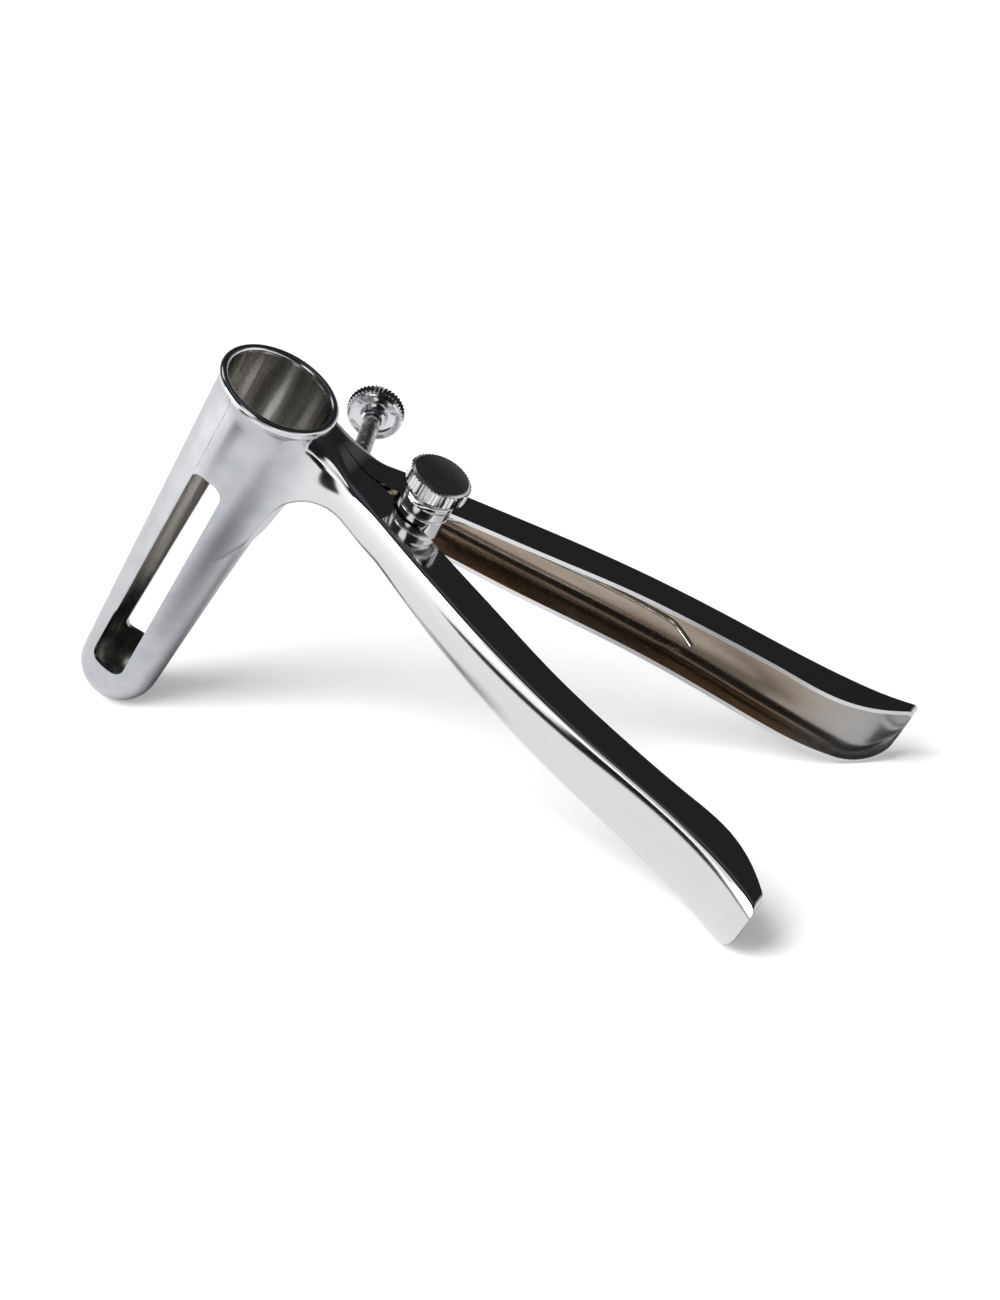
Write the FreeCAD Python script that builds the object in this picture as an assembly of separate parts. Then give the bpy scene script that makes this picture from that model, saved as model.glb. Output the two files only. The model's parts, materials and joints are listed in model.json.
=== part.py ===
import FreeCAD, Part

import math
import os

# Bivalve rectal speculum with slotted blades, pressed channel handles, a wire torsion spring,
# a knurled hinge screw and a knurled spreading screw. All sizes are in millimetres.
#
# The pieces are drawn in the instrument's own frame: the mouth's centre is the origin, the tube
# runs down -Z, the handles run out along +X, and the plane y = 0 parts the front half (-Y) from
# the rear half (+Y). At the end everything is turned about Y, so that the closed instrument
# stands on the tip of its blades and on the ends of both handles.

V = FreeCAD.Vector

# Blades
TUBE_RADIUS_AT_MOUTH = 13.6
LIP_OVERHANG = 0.9
MOUTH_RADIUS = TUBE_RADIUS_AT_MOUTH + LIP_OVERHANG
LIP_BEAD_RADIUS = 0.85
TUBE_RADIUS_AT_TIP = 9.5
BLADE_LENGTH = 98.0
BLADE_WALL = 1.1
TUBE_LEAN_DEG = 1.7
PARTING_GAP = 0.2

# Slots in the blades
SLOT_WIDTH = 8.8
SLOT_TOP = 22.5
SLOT_END = 85.8
SLOT_OFFSET = -0.8
SLOT_TOP_CORNER = 3.4
SLOT_END_CORNER = 2.2

# Handles: pressed channels, given by stations along X. Each station holds the distance along X,
# the inner and outer edge of the top face, the inner edge of the lower lip, and the heights of
# the top face and of the lower lip.
SHEET = 1.6
STATIONS = (
    (26.0, 0.1, 7.5, 0.1, -4.3, -14.8),
    (33.0, 1.0, 10.2, 1.0, -4.2, -15.0),
    (41.0, 4.0, 13.6, 4.0, -4.0, -15.3),
    (52.0, 8.4, 18.1, 8.4, -3.7, -16.1),
    (68.0, 14.3, 24.4, 14.3, -3.2, -17.1),
    (88.0, 21.6, 31.0, 21.4, -2.5, -17.6),
    (108.0, 26.6, 35.8, 26.6, -1.8, -17.8),
    (126.0, 29.9, 39.3, 30.2, -1.1, -18.1),
    (139.0, 33.6, 42.8, 34.2, -0.7, -18.4),
    (148.0, 40.6, 46.6, 39.4, -0.6, -18.7),
    (156.0, 49.4, 51.6, 44.8, -0.6, -19.0),
)
TOP_CORNER = 0.9
LOWER_CORNER = 5.0
LOWER_CORNER_AT_NECK = 3.6
WEB_RADIUS = 24.0
WEB_CROWN = 0.3
INNER_CORNER_LEAST = 0.4
HANDLE_REACH = 153.4
END_TOP_ROUND = 3.0
END_LOWER_ROUND = 8.5
END_CUT_MARGIN = 5.0

# Necks, which join the handles to the blades
NECK_REACH = 28.0
NECK_WAIST = 6.7
NECK_WAIST_AT = 19.5
NECK_TOP_AT_RIM = -1.6
NECK_ROOT_DEG = 50.0
NECK_ROOT_SLOPE = -0.8
NECK_CHANNEL_SLOPE = 0.38
NECK_HEIGHTS = (2.0, -4.5, -6.0, -7.5, -9.0, -10.5, -12.0, -13.5, -15.0, -50.0)
SKIRT_DEPTH = 44.0
SKIRT_KNEE_SHARE = 0.46
SKIRT_KNEE_OUT = 1.9
SKIRT_LOWER_IN = 0.6
SKIRT_EDGE = 0.35
SKIRT_FADE_SHARE = 0.2
NECK_TOUCH_GAP = 0.1
BRAZE_FILM = 0.05

# Hinge
HINGE_X = 41.0
KNUCKLE_RADIUS = 5.9
HINGE_BORE_CLEARANCE = 0.05
SHANK_RADIUS = 2.4
KNUCKLE_SPLIT = 0.1
REAR_UPPER_TOP = 2.1
REAR_UPPER_BASE = -1.8
FRONT_UPPER_BASE = -7.0
REAR_LOWER_TOP = -12.4
REAR_LOWER_THICKNESS = 1.6
FRONT_LOWER_THICKNESS = 2.4
KNUCKLE_ARM_WIDTH = 7.0
NOTCH_CLEARANCE = 0.7
WASHER_RADIUS = 5.0
WASHER_THICKNESS = 0.6
COLLAR_RADIUS = 4.4
COLLAR_HEIGHT = 0.7
HINGE_HEAD_RADIUS = 7.3
HINGE_HEAD_HEIGHT = 4.1
HINGE_TEETH = 48
TOOTH_DEPTH = 0.3
HEAD_CHAMFER = 0.35
SHANK_END_PROUD = 0.6
LIP_OVERLAP = 1.0
LIP_FILM = 0.15
ROOM_FILM = 0.2
FOOT_STEP = 1.0

# Wire spring; LEG_LINE holds the points of a leg's centre line in plan, from the coil to the hooked end
WIRE_DIAMETER = 1.2
COIL_RADIUS = 4.1
COIL_TURNS = 2
LEG_LINE = (
    (44.0, 8.6),
    (51.0, 14.0),
    (60.0, 17.6),
    (72.0, 22.0),
    (86.0, 26.4),
    (95.0, 28.6),
    (98.4, 28.9),
    (101.5, 27.7),
    (105.1, 25.5),
)
SPRING_AIR = 0.25

# Spreading screw
SET_SCREW_X = 23.9
SET_SCREW_Z = -8.6
SET_SCREW_TURN_DEG = 17.0
STEM_RADIUS = 2.1
STEM_TIP_GAP = 0.3
STEM_TIP_ROUND = 0.85
STEM_TO_KNOB = 26.3
KNOB_RADIUS = 6.6
KNOB_THICKNESS = 3.9
KNOB_HUB_RADIUS = 3.1
KNOB_HUB_HEIGHT = 1.9
KNOB_DISH = 0.9
KNOB_TEETH = 44
THREAD_CLEARANCE = 0.05
BOSS_RADIUS = 3.5
BOSS_INNER_END = 1.2
PAD_RADIUS = 2.0
PAD_FACE = 0.1

# Standing
STANDING_TOLERANCE = 0.02
LEAST_TILT_DEG = 10.0
MOST_TILT_DEG = 45.0

EXTENT = 400.0


def mirrored(shape):
    """Gives the rear twin of a front piece."""
    return shape.mirror(V(0, 0, 0), V(0, 1, 0))


def block(x0, x1, y0, y1, z0, z1):
    """Gives a box between two corners."""
    return Part.makeBox(x1 - x0, y1 - y0, z1 - z0, V(x0, y0, z0))


def cylinder(radius, z_low, z_high, x=HINGE_X):
    """Gives an upright cylinder on the mirror plane."""
    return Part.makeCylinder(radius, z_high - z_low, V(x, 0, z_low))


def arc(start, middle, end):
    """Gives the edge of a circular arc through three points."""
    return Part.Arc(start, middle, end).toShape()


def line(start, end):
    """Gives a straight edge."""
    return Part.LineSegment(start, end).toShape()


# Blades


def tube_profile(inset):
    """Gives the half section of the tube, from the mouth to the rounded tip, set in by a wall."""
    tip_radius = TUBE_RADIUS_AT_TIP - inset
    mouth_radius = TUBE_RADIUS_AT_MOUTH - inset
    centre_z = -(BLADE_LENGTH - TUBE_RADIUS_AT_TIP)
    half = math.radians(45)
    rise = LIP_BEAD_RADIUS if inset > 0 else 0.0
    mouth = V(mouth_radius, 0, rise)
    shoulder = V(tip_radius, 0, centre_z)
    bend = V(tip_radius * math.cos(half), 0, centre_z - tip_radius * math.sin(half))
    tip = V(0, 0, centre_z - tip_radius)
    edges = [line(V(0, 0, rise), mouth), line(mouth, shoulder), arc(shoulder, bend, tip), line(tip, V(0, 0, rise))]
    return Part.Face(Part.Wire(edges))


def tube_solid(inset):
    """Gives the filled tube, turned by its lean about the mouth's centre."""
    solid = tube_profile(inset).revolve(V(0, 0, 0), V(0, 0, 1), 360)
    return leaned(solid)


def leaned(shape):
    """Leans a piece of the tube, so that its tip lies away from the handles."""
    turned = shape.copy()
    turned.rotate(V(0, 0, 0), V(0, 1, 0), TUBE_LEAN_DEG)
    return turned


def slot_cutter():
    """Gives the prism that cuts the long opening in the front blade."""
    left = SLOT_OFFSET - SLOT_WIDTH / 2
    right = SLOT_OFFSET + SLOT_WIDTH / 2
    prism = block(left, right, -2 * MOUTH_RADIUS, 0, -SLOT_END, -SLOT_TOP)
    prism = prism.makeFillet(SLOT_TOP_CORNER, cross_edges(prism, -SLOT_TOP))
    prism = prism.makeFillet(SLOT_END_CORNER, cross_edges(prism, -SLOT_END))
    return leaned(prism)


def cross_edges(prism, height):
    """Finds a prism's edges that run straight across the tube at one height."""
    return [e for e in prism.Edges if abs(e.Vertexes[0].Z - height) + abs(e.Vertexes[1].Z - height) < 1e-6
            and abs(e.Vertexes[0].X - e.Vertexes[1].X) < 1e-6]


def front_blade():
    """Gives the front half of the tapered tube with its rolled lip and long slot."""
    bead_circle = Part.Wire(Part.makeCircle(LIP_BEAD_RADIUS, V(MOUTH_RADIUS - LIP_BEAD_RADIUS, 0, 0), V(0, 1, 0)))
    bead = leaned(Part.Face(bead_circle).revolve(V(0, 0, 0), V(0, 0, 1), 360))
    shell = tube_solid(0.0).cut(tube_solid(BLADE_WALL)).fuse(bead)
    half = shell.common(block(-EXTENT, EXTENT, -EXTENT, -PARTING_GAP / 2, -EXTENT, EXTENT))
    return half.cut(slot_cutter()).removeSplitter()


# Handles and necks


def channel_curve(station, inset, lower_corner):
    """Gives the points of one channel section: top face, crowned web and lower lip."""
    x, inner, outer, low_inner, top, low = station
    top -= inset
    low += inset
    radius = WEB_RADIUS - inset
    full = station[4] - station[5]
    centre_z = station[4] - WEB_CROWN * full
    centre_y = outer + TOP_CORNER / 2 - WEB_RADIUS
    top_r = max(TOP_CORNER - inset, INNER_CORNER_LEAST)
    low_r = max(lower_corner - inset, INNER_CORNER_LEAST)
    top_c = V(x, centre_y + math.sqrt((radius - top_r) ** 2 - (top - top_r - centre_z) ** 2), top - top_r)
    low_c = V(x, centre_y + math.sqrt((radius - low_r) ** 2 - (low + low_r - centre_z) ** 2), low + low_r)
    web_c = V(x, centre_y, centre_z)

    def on_web(centre):
        return web_c + (centre - web_c).normalize() * radius

    def between(centre, r, start, end):
        middle = (start - centre).normalize() + (end - centre).normalize()
        return centre + middle.normalize() * r

    top_start = V(x, top_c.y, top)
    top_end = on_web(top_c)
    low_start = on_web(low_c)
    low_end = V(x, low_c.y, low)
    first = V(x, min(inner, top_start.y - NECK_TOUCH_GAP), top)
    last = V(x, min(low_inner, low_end.y - NECK_TOUCH_GAP), low)
    return [first, top_start, between(top_c, top_r, top_start, top_end), top_end,
            between(web_c, radius, top_end, low_start), low_start,
            between(low_c, low_r, low_start, low_end), low_end, last]


def channel_section(station, lower_corner):
    """Gives the closed wire of one channel section on the front side."""
    out = channel_curve(station, 0.0, lower_corner)
    ins = channel_curve(station, SHEET, lower_corner)
    edges = [line(out[0], out[1]), arc(out[1], out[2], out[3]), arc(out[3], out[4], out[5]),
             arc(out[5], out[6], out[7]), line(out[7], out[8]), line(out[8], ins[8]), line(ins[8], ins[7]),
             arc(ins[7], ins[6], ins[5]), arc(ins[5], ins[4], ins[3]), arc(ins[3], ins[2], ins[1]),
             line(ins[1], ins[0]), line(ins[0], out[0])]
    return Part.Wire(edges)


def channel_handle():
    """Gives the rear channel as one smooth loft through its stations."""
    wires = []
    for index, station in enumerate(STATIONS):
        corner = LOWER_CORNER_AT_NECK if index < 2 else LOWER_CORNER
        wires.append(channel_section(station, corner))
    return Part.makeLoft(wires, True, False)


def end_profile():
    """Gives the side outline that rounds the handle's end, as a prism across the instrument."""
    cut_top = STATIONS[-1][4]
    low = STATIONS[-1][5]
    above = cut_top + END_CUT_MARGIN
    below = low - END_CUT_MARGIN
    start = -EXTENT / 8
    reach = HANDLE_REACH
    half = math.sqrt(0.5)
    top_on = V(reach - END_TOP_ROUND, 0, cut_top)
    top_mid = V(reach - END_TOP_ROUND * (1 - half), 0, cut_top - END_TOP_ROUND * (1 - half))
    top_off = V(reach, 0, cut_top - END_TOP_ROUND)
    low_on = V(reach, 0, low + END_LOWER_ROUND)
    low_mid = V(reach - END_LOWER_ROUND * (1 - half), 0, low + END_LOWER_ROUND * (1 - half))
    low_off = V(reach - END_LOWER_ROUND, 0, low)
    corners = [V(low_off.x, 0, below), V(start, 0, below), V(start, 0, above), V(top_on.x, 0, above)]
    edges = [arc(top_on, top_mid, top_off), line(top_off, low_on), arc(low_on, low_mid, low_off),
             line(low_off, corners[0]), line(corners[0], corners[1]), line(corners[1], corners[2]),
             line(corners[2], corners[3]), line(corners[3], top_on)]
    return Part.Face(Part.Wire(edges)).extrude(V(0, EXTENT, 0))


def station_at(x):
    """Gives the channel's measures at a place between two stations."""
    index = max(i for i, station in enumerate(STATIONS) if station[0] <= x)
    before, after = STATIONS[index], STATIONS[index + 1]
    share = (x - before[0]) / (after[0] - before[0])
    return [a + (b - a) * share for a, b in zip(before, after)]


def tube_at(z):
    """Gives the X of the leaning tube's centre and the tube's radius at a height."""
    straight = BLADE_LENGTH - TUBE_RADIUS_AT_TIP
    taper = (TUBE_RADIUS_AT_MOUTH - TUBE_RADIUS_AT_TIP) / straight
    return z * math.tan(math.radians(TUBE_LEAN_DEG)), TUBE_RADIUS_AT_MOUTH + taper * z


def channel_web(z):
    """Gives the crowned web's distance from the mirror plane where the neck meets the channel."""
    station = station_at(NECK_REACH)
    top, low = station[4], station[5]
    from_crown = max(z, low) - (top - WEB_CROWN * (top - low))
    return station[2] + TOP_CORNER / 2 - WEB_RADIUS + math.sqrt(WEB_RADIUS ** 2 - from_crown ** 2)


def neck_slice(z, inset):
    """Gives the neck's plan outline at a height: off the tube's side, in to the waist, out to the channel."""
    centre, radius = tube_at(z)
    root = math.radians(NECK_ROOT_DEG)
    start = V(centre + radius * math.cos(root), radius * math.sin(root) - inset, z)
    waist = V(NECK_WAIST_AT, NECK_WAIST - inset, z)
    end = V(NECK_REACH, channel_web(z) - inset, z)
    side = Part.BSplineCurve()
    side.interpolate([start, waist, end], InitialTangent=V(1, NECK_ROOT_SLOPE, 0),
                     FinalTangent=V(1, NECK_CHANNEL_SLOPE, 0))
    near, far = V(start.x, 0, z), V(end.x, 0, z)
    return Part.Wire([side.toShape(), line(end, far), line(far, near), line(near, start)])


def neck_plan(inset):
    """Gives the neck's plan shape, ruled from slice to slice so that it stays tangent to the tapered tube."""
    return Part.makeLoft([neck_slice(z, inset) for z in NECK_HEIGHTS], True, True)


def neck_side(inset):
    """Gives the side outline of the neck: the dip behind the rim above and the skirt's sweep below."""
    station = station_at(NECK_REACH)
    top_end, low_end = station[4] - inset, station[5] + inset
    rim = NECK_TOP_AT_RIM - inset
    top = Part.BSplineCurve()
    top.interpolate([V(0, 0, rim), V(MOUTH_RADIUS, 0, rim), V(NECK_REACH, 0, top_end)],
                    InitialTangent=V(1, 0, 0), FinalTangent=V(1, 0, 0))
    wall_x = TUBE_RADIUS_AT_MOUTH - inset
    foot = V(wall_x - SKIRT_LOWER_IN, 0, -SKIRT_DEPTH)
    knee = V(wall_x + SKIRT_KNEE_OUT, 0, -SKIRT_KNEE_SHARE * SKIRT_DEPTH)
    end = V(NECK_REACH, 0, low_end)
    low = Part.BSplineCurve()
    low.interpolate([foot, knee, end], InitialTangent=V(0, 0, 1), FinalTangent=V(1, 0, 0))
    inner = V(0, 0, -SKIRT_DEPTH)
    edges = [top.toShape(), line(V(NECK_REACH, 0, top_end), end), low.toShape(), line(foot, inner),
             line(inner, V(0, 0, rim))]
    return Part.Face(Part.Wire(Part.__sortEdges__(edges))).extrude(V(0, EXTENT / 4, 0))


def skirt_fade():
    """Gives the turned shape that draws the skirt's lower end in to the tube."""
    radius = tube_at(-SKIRT_DEPTH)[1] + SKIRT_EDGE
    low = -SKIRT_DEPTH
    rise = SKIRT_FADE_SHARE * SKIRT_DEPTH
    curve = Part.BSplineCurve()
    curve.interpolate([V(radius, 0, low), V(TUBE_RADIUS_AT_MOUTH + LIP_OVERHANG, 0, low + rise / 3),
                       V(EXTENT / 8, 0, low + 2 * rise)])
    high = EXTENT / 8
    edges = [curve.toShape(), line(V(high, 0, low + 2 * rise), V(high, 0, high)), line(V(high, 0, high), V(0, 0, high)),
             line(V(0, 0, high), V(0, 0, low)), line(V(0, 0, low), V(radius, 0, low))]
    return leaned(Part.Face(Part.Wire(edges)).revolve(V(0, 0, 0), V(0, 0, 1), 360))


def neck():
    """Gives the rear neck: a hollow pressed shell that sweeps from the tube into the channel."""
    solid = neck_plan(0.0).common(neck_side(0.0))
    hollow = neck_room(0.0)
    return solid.cut(hollow).common(skirt_fade())


def neck_room(film):
    """Gives the space inside the neck's sheet, less a film."""
    return neck_plan(SHEET + film).common(neck_side(SHEET + film))


def handle():
    """Gives a handle on the rear side with its neck, cut to the tube, the hinge and the mirror plane."""
    body = channel_handle().common(end_profile())
    joined = body.fuse(neck())
    joined = joined.cut(tube_solid(-BRAZE_FILM))
    joined = joined.cut(leaned(cylinder(MOUTH_RADIUS + LIP_OVERHANG, -2 * LIP_BEAD_RADIUS, EXTENT / 8, 0)))
    joined = joined.cut(cylinder(KNUCKLE_RADIUS + NOTCH_CLEARANCE, -EXTENT / 4, EXTENT / 4))
    return joined.common(block(-EXTENT, EXTENT, NECK_TOUCH_GAP / 2, EXTENT, -EXTENT, EXTENT))


def front_handle(plain):
    """Gives the front handle, the twin of the plain handle."""
    return mirrored(plain).removeSplitter()


def rear_handle(plain):
    """Gives the rear handle, with the spreading screw's hole through its neck."""
    hole = screw_cylinder(STEM_RADIUS + 2 * THREAD_CLEARANCE, 0, STEM_TO_KNOB)
    return plain.cut(hole).removeSplitter()


# Spreading screw


def screw_axis():
    """Gives the spreading screw's direction, from the front neck out through the rear neck."""
    turn = math.radians(SET_SCREW_TURN_DEG)
    return V(-math.sin(turn), math.cos(turn), 0)


def screw_point(distance):
    """Gives a point on the screw's axis, by its distance from the mirror plane."""
    return V(SET_SCREW_X, 0, SET_SCREW_Z) + screw_axis() * distance


def screw_cylinder(radius, start, end):
    """Gives a cylinder on the screw's axis."""
    return Part.makeCylinder(radius, end - start, screw_point(start), screw_axis())


def toothed_disc(radius, height, teeth):
    """Gives an upright disc with straight knurling and chamfered ends, standing on z = 0."""
    points = []
    for index in range(teeth):
        for step, r in ((0.0, radius - TOOTH_DEPTH), (0.35, radius), (0.65, radius)):
            angle = 2 * math.pi * (index + step) / teeth
            points.append(V(r * math.cos(angle), r * math.sin(angle), 0))
    points.append(points[0])
    disc = Part.Face(Part.makePolygon(points)).extrude(V(0, 0, height))
    low = radius - HEAD_CHAMFER
    rim = Part.makeCone(low, radius + HEAD_CHAMFER, 2 * HEAD_CHAMFER)
    middle = Part.makeCylinder(radius + HEAD_CHAMFER, height - 4 * HEAD_CHAMFER, V(0, 0, 2 * HEAD_CHAMFER))
    cap = Part.makeCone(radius + HEAD_CHAMFER, low, 2 * HEAD_CHAMFER, V(0, 0, height - 2 * HEAD_CHAMFER))
    return disc.common(rim.fuse([middle, cap]))


def set_screw_knob():
    """Gives the knurled knob of the spreading screw, with a dished underside and a hub."""
    disc = toothed_disc(KNOB_RADIUS, KNOB_THICKNESS, KNOB_TEETH)
    dish = Part.makeCone(KNOB_RADIUS - 2 * HEAD_CHAMFER, KNOB_HUB_RADIUS, KNOB_DISH)
    hub = Part.makeCone(KNOB_HUB_RADIUS - HEAD_CHAMFER, KNOB_HUB_RADIUS, KNOB_HUB_HEIGHT + KNOB_DISH,
                        V(0, 0, -KNOB_HUB_HEIGHT))
    bore = Part.makeCylinder(STEM_RADIUS + THREAD_CLEARANCE, KNOB_THICKNESS, V(0, 0, -KNOB_HUB_HEIGHT))
    knob = disc.cut(dish).fuse(hub).cut(bore).removeSplitter()
    knob.Placement = FreeCAD.Placement(screw_point(STEM_TO_KNOB), FreeCAD.Rotation(V(0, 0, 1), screw_axis()))
    return knob


def set_screw_stem():
    """Gives the threaded stem, with a rounded tip near the pad and its other end inside the knob."""
    start = PAD_FACE + STEM_TIP_GAP
    end = STEM_TO_KNOB - KNOB_HUB_HEIGHT + KNOB_THICKNESS - 2 * THREAD_CLEARANCE
    stem = screw_cylinder(STEM_RADIUS, start, end)
    tip = [e for e in stem.Edges if e.CenterOfMass.distanceToPoint(screw_point(start)) < 1e-3]
    return stem.makeFillet(STEM_TIP_ROUND, tip)


def neck_fitting(piece):
    """Trims a piece to the space inside the rear neck, short of the channel's start."""
    room = neck_room(2 * BRAZE_FILM)
    start = block(-EXTENT, STATIONS[0][0] - 2 * BRAZE_FILM, PAD_FACE, EXTENT, -EXTENT, EXTENT)
    return piece.common(room).common(start)


def set_screw_boss():
    """Gives the threaded boss inside the rear neck."""
    boss = screw_cylinder(BOSS_RADIUS, BOSS_INNER_END, 2 * NECK_WAIST)
    boss = boss.cut(screw_cylinder(STEM_RADIUS + THREAD_CLEARANCE, 0, STEM_TO_KNOB))
    return neck_fitting(boss).removeSplitter()


def thrust_pad():
    """Gives the button inside the front neck that the screw's tip bears on."""
    pad = Part.makeCylinder(PAD_RADIUS, 2 * NECK_WAIST, V(SET_SCREW_X, 0, SET_SCREW_Z), V(0, 1, 0))
    return mirrored(neck_fitting(pad))


# Hinge


def knuckle(low, high, arm):
    """Gives one hinge knuckle: a ring with an arm that reaches its handle."""
    bore = cylinder(SHANK_RADIUS + HINGE_BORE_CLEARANCE, -EXTENT / 4, EXTENT / 4)
    return cylinder(KNUCKLE_RADIUS, low, high).fuse(arm).cut(bore).removeSplitter()


def knuckle_arm(low, high, reach):
    """Gives the bar of a rear knuckle's arm, from the hinge's axis outwards."""
    half = KNUCKLE_ARM_WIDTH / 2
    return block(HINGE_X - half, HINGE_X + half, 0, reach, low, high)


def arm_side():
    """Gives the channel's measures at the side of the arms that lies farther from the mouth."""
    return station_at(HINGE_X + KNUCKLE_ARM_WIDTH / 2)


def channel_room():
    """Gives the space inside the rear channel round the hinge, less a film."""
    wires = []
    for station in STATIONS[:5]:
        p = channel_curve(station, SHEET + ROOM_FILM, LOWER_CORNER)
        top, low = V(p[0].x, 0, p[0].z), V(p[8].x, 0, p[8].z)
        wires.append(Part.Wire([line(top, p[1]), arc(p[1], p[2], p[3]), arc(p[3], p[4], p[5]),
                                arc(p[5], p[6], p[7]), line(p[7], low), line(low, top)]))
    return Part.makeLoft(wires, True, False)


def front_upper_knuckle():
    """Gives the front knuckle below the rear one, with its arm inside the front channel."""
    high = REAR_UPPER_BASE - KNUCKLE_SPLIT
    arm = knuckle_arm(FRONT_UPPER_BASE, high, EXTENT / 4).common(channel_room())
    return knuckle(FRONT_UPPER_BASE, high, mirrored(arm))


def front_lower_knuckle():
    """Gives the lowest knuckle, in which the hinge screw's thread bites; its arm lies under the lower lip."""
    high = REAR_LOWER_TOP - REAR_LOWER_THICKNESS - KNUCKLE_SPLIT
    low = high - FRONT_LOWER_THICKNESS
    arm_high = arm_side()[5] - LIP_FILM
    flat_lip = STATIONS[2][2] - LOWER_CORNER + LIP_OVERLAP
    return knuckle(low, high, mirrored(knuckle_arm(low, arm_high, flat_lip)))


def rear_lower_knuckle():
    """Gives the rear knuckle that turns between the spring and the front's lowest knuckle."""
    low = REAR_LOWER_TOP - REAR_LOWER_THICKNESS
    arm = knuckle_arm(low, REAR_LOWER_TOP, EXTENT / 4).common(channel_room())
    return knuckle(low, REAR_LOWER_TOP, arm)


def rear_upper_knuckle():
    """Gives the top knuckle, whose foot stands on the rear handle's top face."""
    foot_top = REAR_UPPER_TOP - FOOT_STEP
    foot_out = STATIONS[2][2] - 2 * TOP_CORNER
    arm = knuckle_arm(REAR_UPPER_BASE, foot_top, foot_out)
    foot = knuckle_arm(arm_side()[4] + 2 * BRAZE_FILM, foot_top, foot_out)
    clear = cylinder(KNUCKLE_RADIUS + NOTCH_CLEARANCE, -EXTENT / 4, REAR_UPPER_BASE)
    return knuckle(REAR_UPPER_BASE, REAR_UPPER_TOP, arm.fuse(foot.cut(clear)))


def head_base():
    """Gives the height of the knurled head's underside."""
    return REAR_UPPER_TOP + WASHER_THICKNESS + COLLAR_HEIGHT


def hinge_washer():
    """Gives the washer under the hinge screw's collar."""
    washer = cylinder(WASHER_RADIUS, REAR_UPPER_TOP, REAR_UPPER_TOP + WASHER_THICKNESS)
    return washer.cut(cylinder(SHANK_RADIUS + HINGE_BORE_CLEARANCE, REAR_UPPER_BASE, head_base()))


def hinge_screw():
    """Gives the hinge screw: knurled head, collar and the shank through all four knuckles."""
    head = toothed_disc(HINGE_HEAD_RADIUS, HINGE_HEAD_HEIGHT, HINGE_TEETH)
    head.translate(V(HINGE_X, 0, head_base()))
    collar = cylinder(COLLAR_RADIUS, REAR_UPPER_TOP + WASHER_THICKNESS, head_base())
    low = REAR_LOWER_TOP - REAR_LOWER_THICKNESS - KNUCKLE_SPLIT - FRONT_LOWER_THICKNESS - SHANK_END_PROUD
    shank = cylinder(SHANK_RADIUS, low, head_base())
    shank = shank.makeChamfer(HEAD_CHAMFER, [e for e in shank.Edges if abs(e.CenterOfMass.z - low) < 1e-6])
    return head.fuse([collar, shank]).removeSplitter()


# Wire spring


def coil_low():
    """Gives the height of the wire's centre where the front leg joins the coil."""
    return REAR_LOWER_TOP + SPRING_AIR + WIRE_DIAMETER / 2


def coil_top():
    """Gives the height of the wire's centre where the rear leg joins the coil."""
    return FRONT_UPPER_BASE - SPRING_AIR - WIRE_DIAMETER / 2


def tangent_point(side, height):
    """Gives the place on the coil that the straight start of a leg leaves without a bend."""
    dx = LEG_LINE[0][0] - HINGE_X
    dy = LEG_LINE[0][1]
    reach = math.hypot(dx, dy)
    direction = math.atan2(dy, dx) - math.asin(COIL_RADIUS / reach)
    across = COIL_RADIUS * math.cos(direction)
    return V(HINGE_X - COIL_RADIUS * math.sin(direction), side * across, height)


def spring_leg(side, height):
    """Gives one leg of the spring: out of the coil, along the channel and round to its hooked end."""
    points = [V(x, side * y, height) for x, y in LEG_LINE]
    end = tangent_point(side, height)
    points.insert(0, end + (points[0] - end).normalize() * BRAZE_FILM)
    centre_line = Part.BSplineCurve()
    centre_line.interpolate(points)
    edge = centre_line.toShape()
    profile = Part.Wire(Part.makeCircle(WIRE_DIAMETER / 2, points[0], edge.tangentAt(edge.FirstParameter)))
    sweep = Part.BRepOffsetAPI.MakePipeShell(Part.Wire([edge]))
    sweep.setBiNormalMode(V(0, 0, 1))
    sweep.add(profile)
    sweep.build()
    sweep.makeSolid()
    return sweep.shape()


def spring_coil():
    """Gives the coil round the hinge screw, which winds clockwise from the front leg up to the rear leg."""
    front = tangent_point(-1, coil_low())
    rear = tangent_point(1, coil_top())
    start_deg = math.degrees(math.atan2(front.y, front.x - HINGE_X))
    end_deg = math.degrees(math.atan2(rear.y, rear.x - HINGE_X))
    turns = COIL_TURNS + ((start_deg - end_deg) % 360) / 360
    height = coil_top() - coil_low()
    helix = Part.makeHelix(height / turns, height, COIL_RADIUS, 0, True)
    profile = Part.Wire(Part.makeCircle(WIRE_DIAMETER / 2, V(COIL_RADIUS, 0, 0), V(0, 1, 0)))
    coil = helix.makePipeShell([profile], True, True)
    coil.rotate(V(0, 0, 0), V(0, 0, 1), start_deg)
    coil.translate(V(HINGE_X, 0, coil_low()))
    return coil


# Standing the instrument


def stood(shape, tilt_deg, shift):
    """Turns a piece from the instrument's frame to where it stands."""
    placed = shape.copy()
    placed.rotate(V(0, 0, 0), V(0, 1, 0), tilt_deg)
    placed.translate(shift)
    return placed


def outline_points(shape):
    """Gives close points over a piece's faces."""
    return shape.tessellate(STANDING_TOLERANCE)[0]


def height(point, tilt_deg):
    """Gives a point's height once the instrument is turned about Y."""
    tilt = math.radians(tilt_deg)
    return point.z * math.cos(tilt) - point.x * math.sin(tilt)


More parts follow.
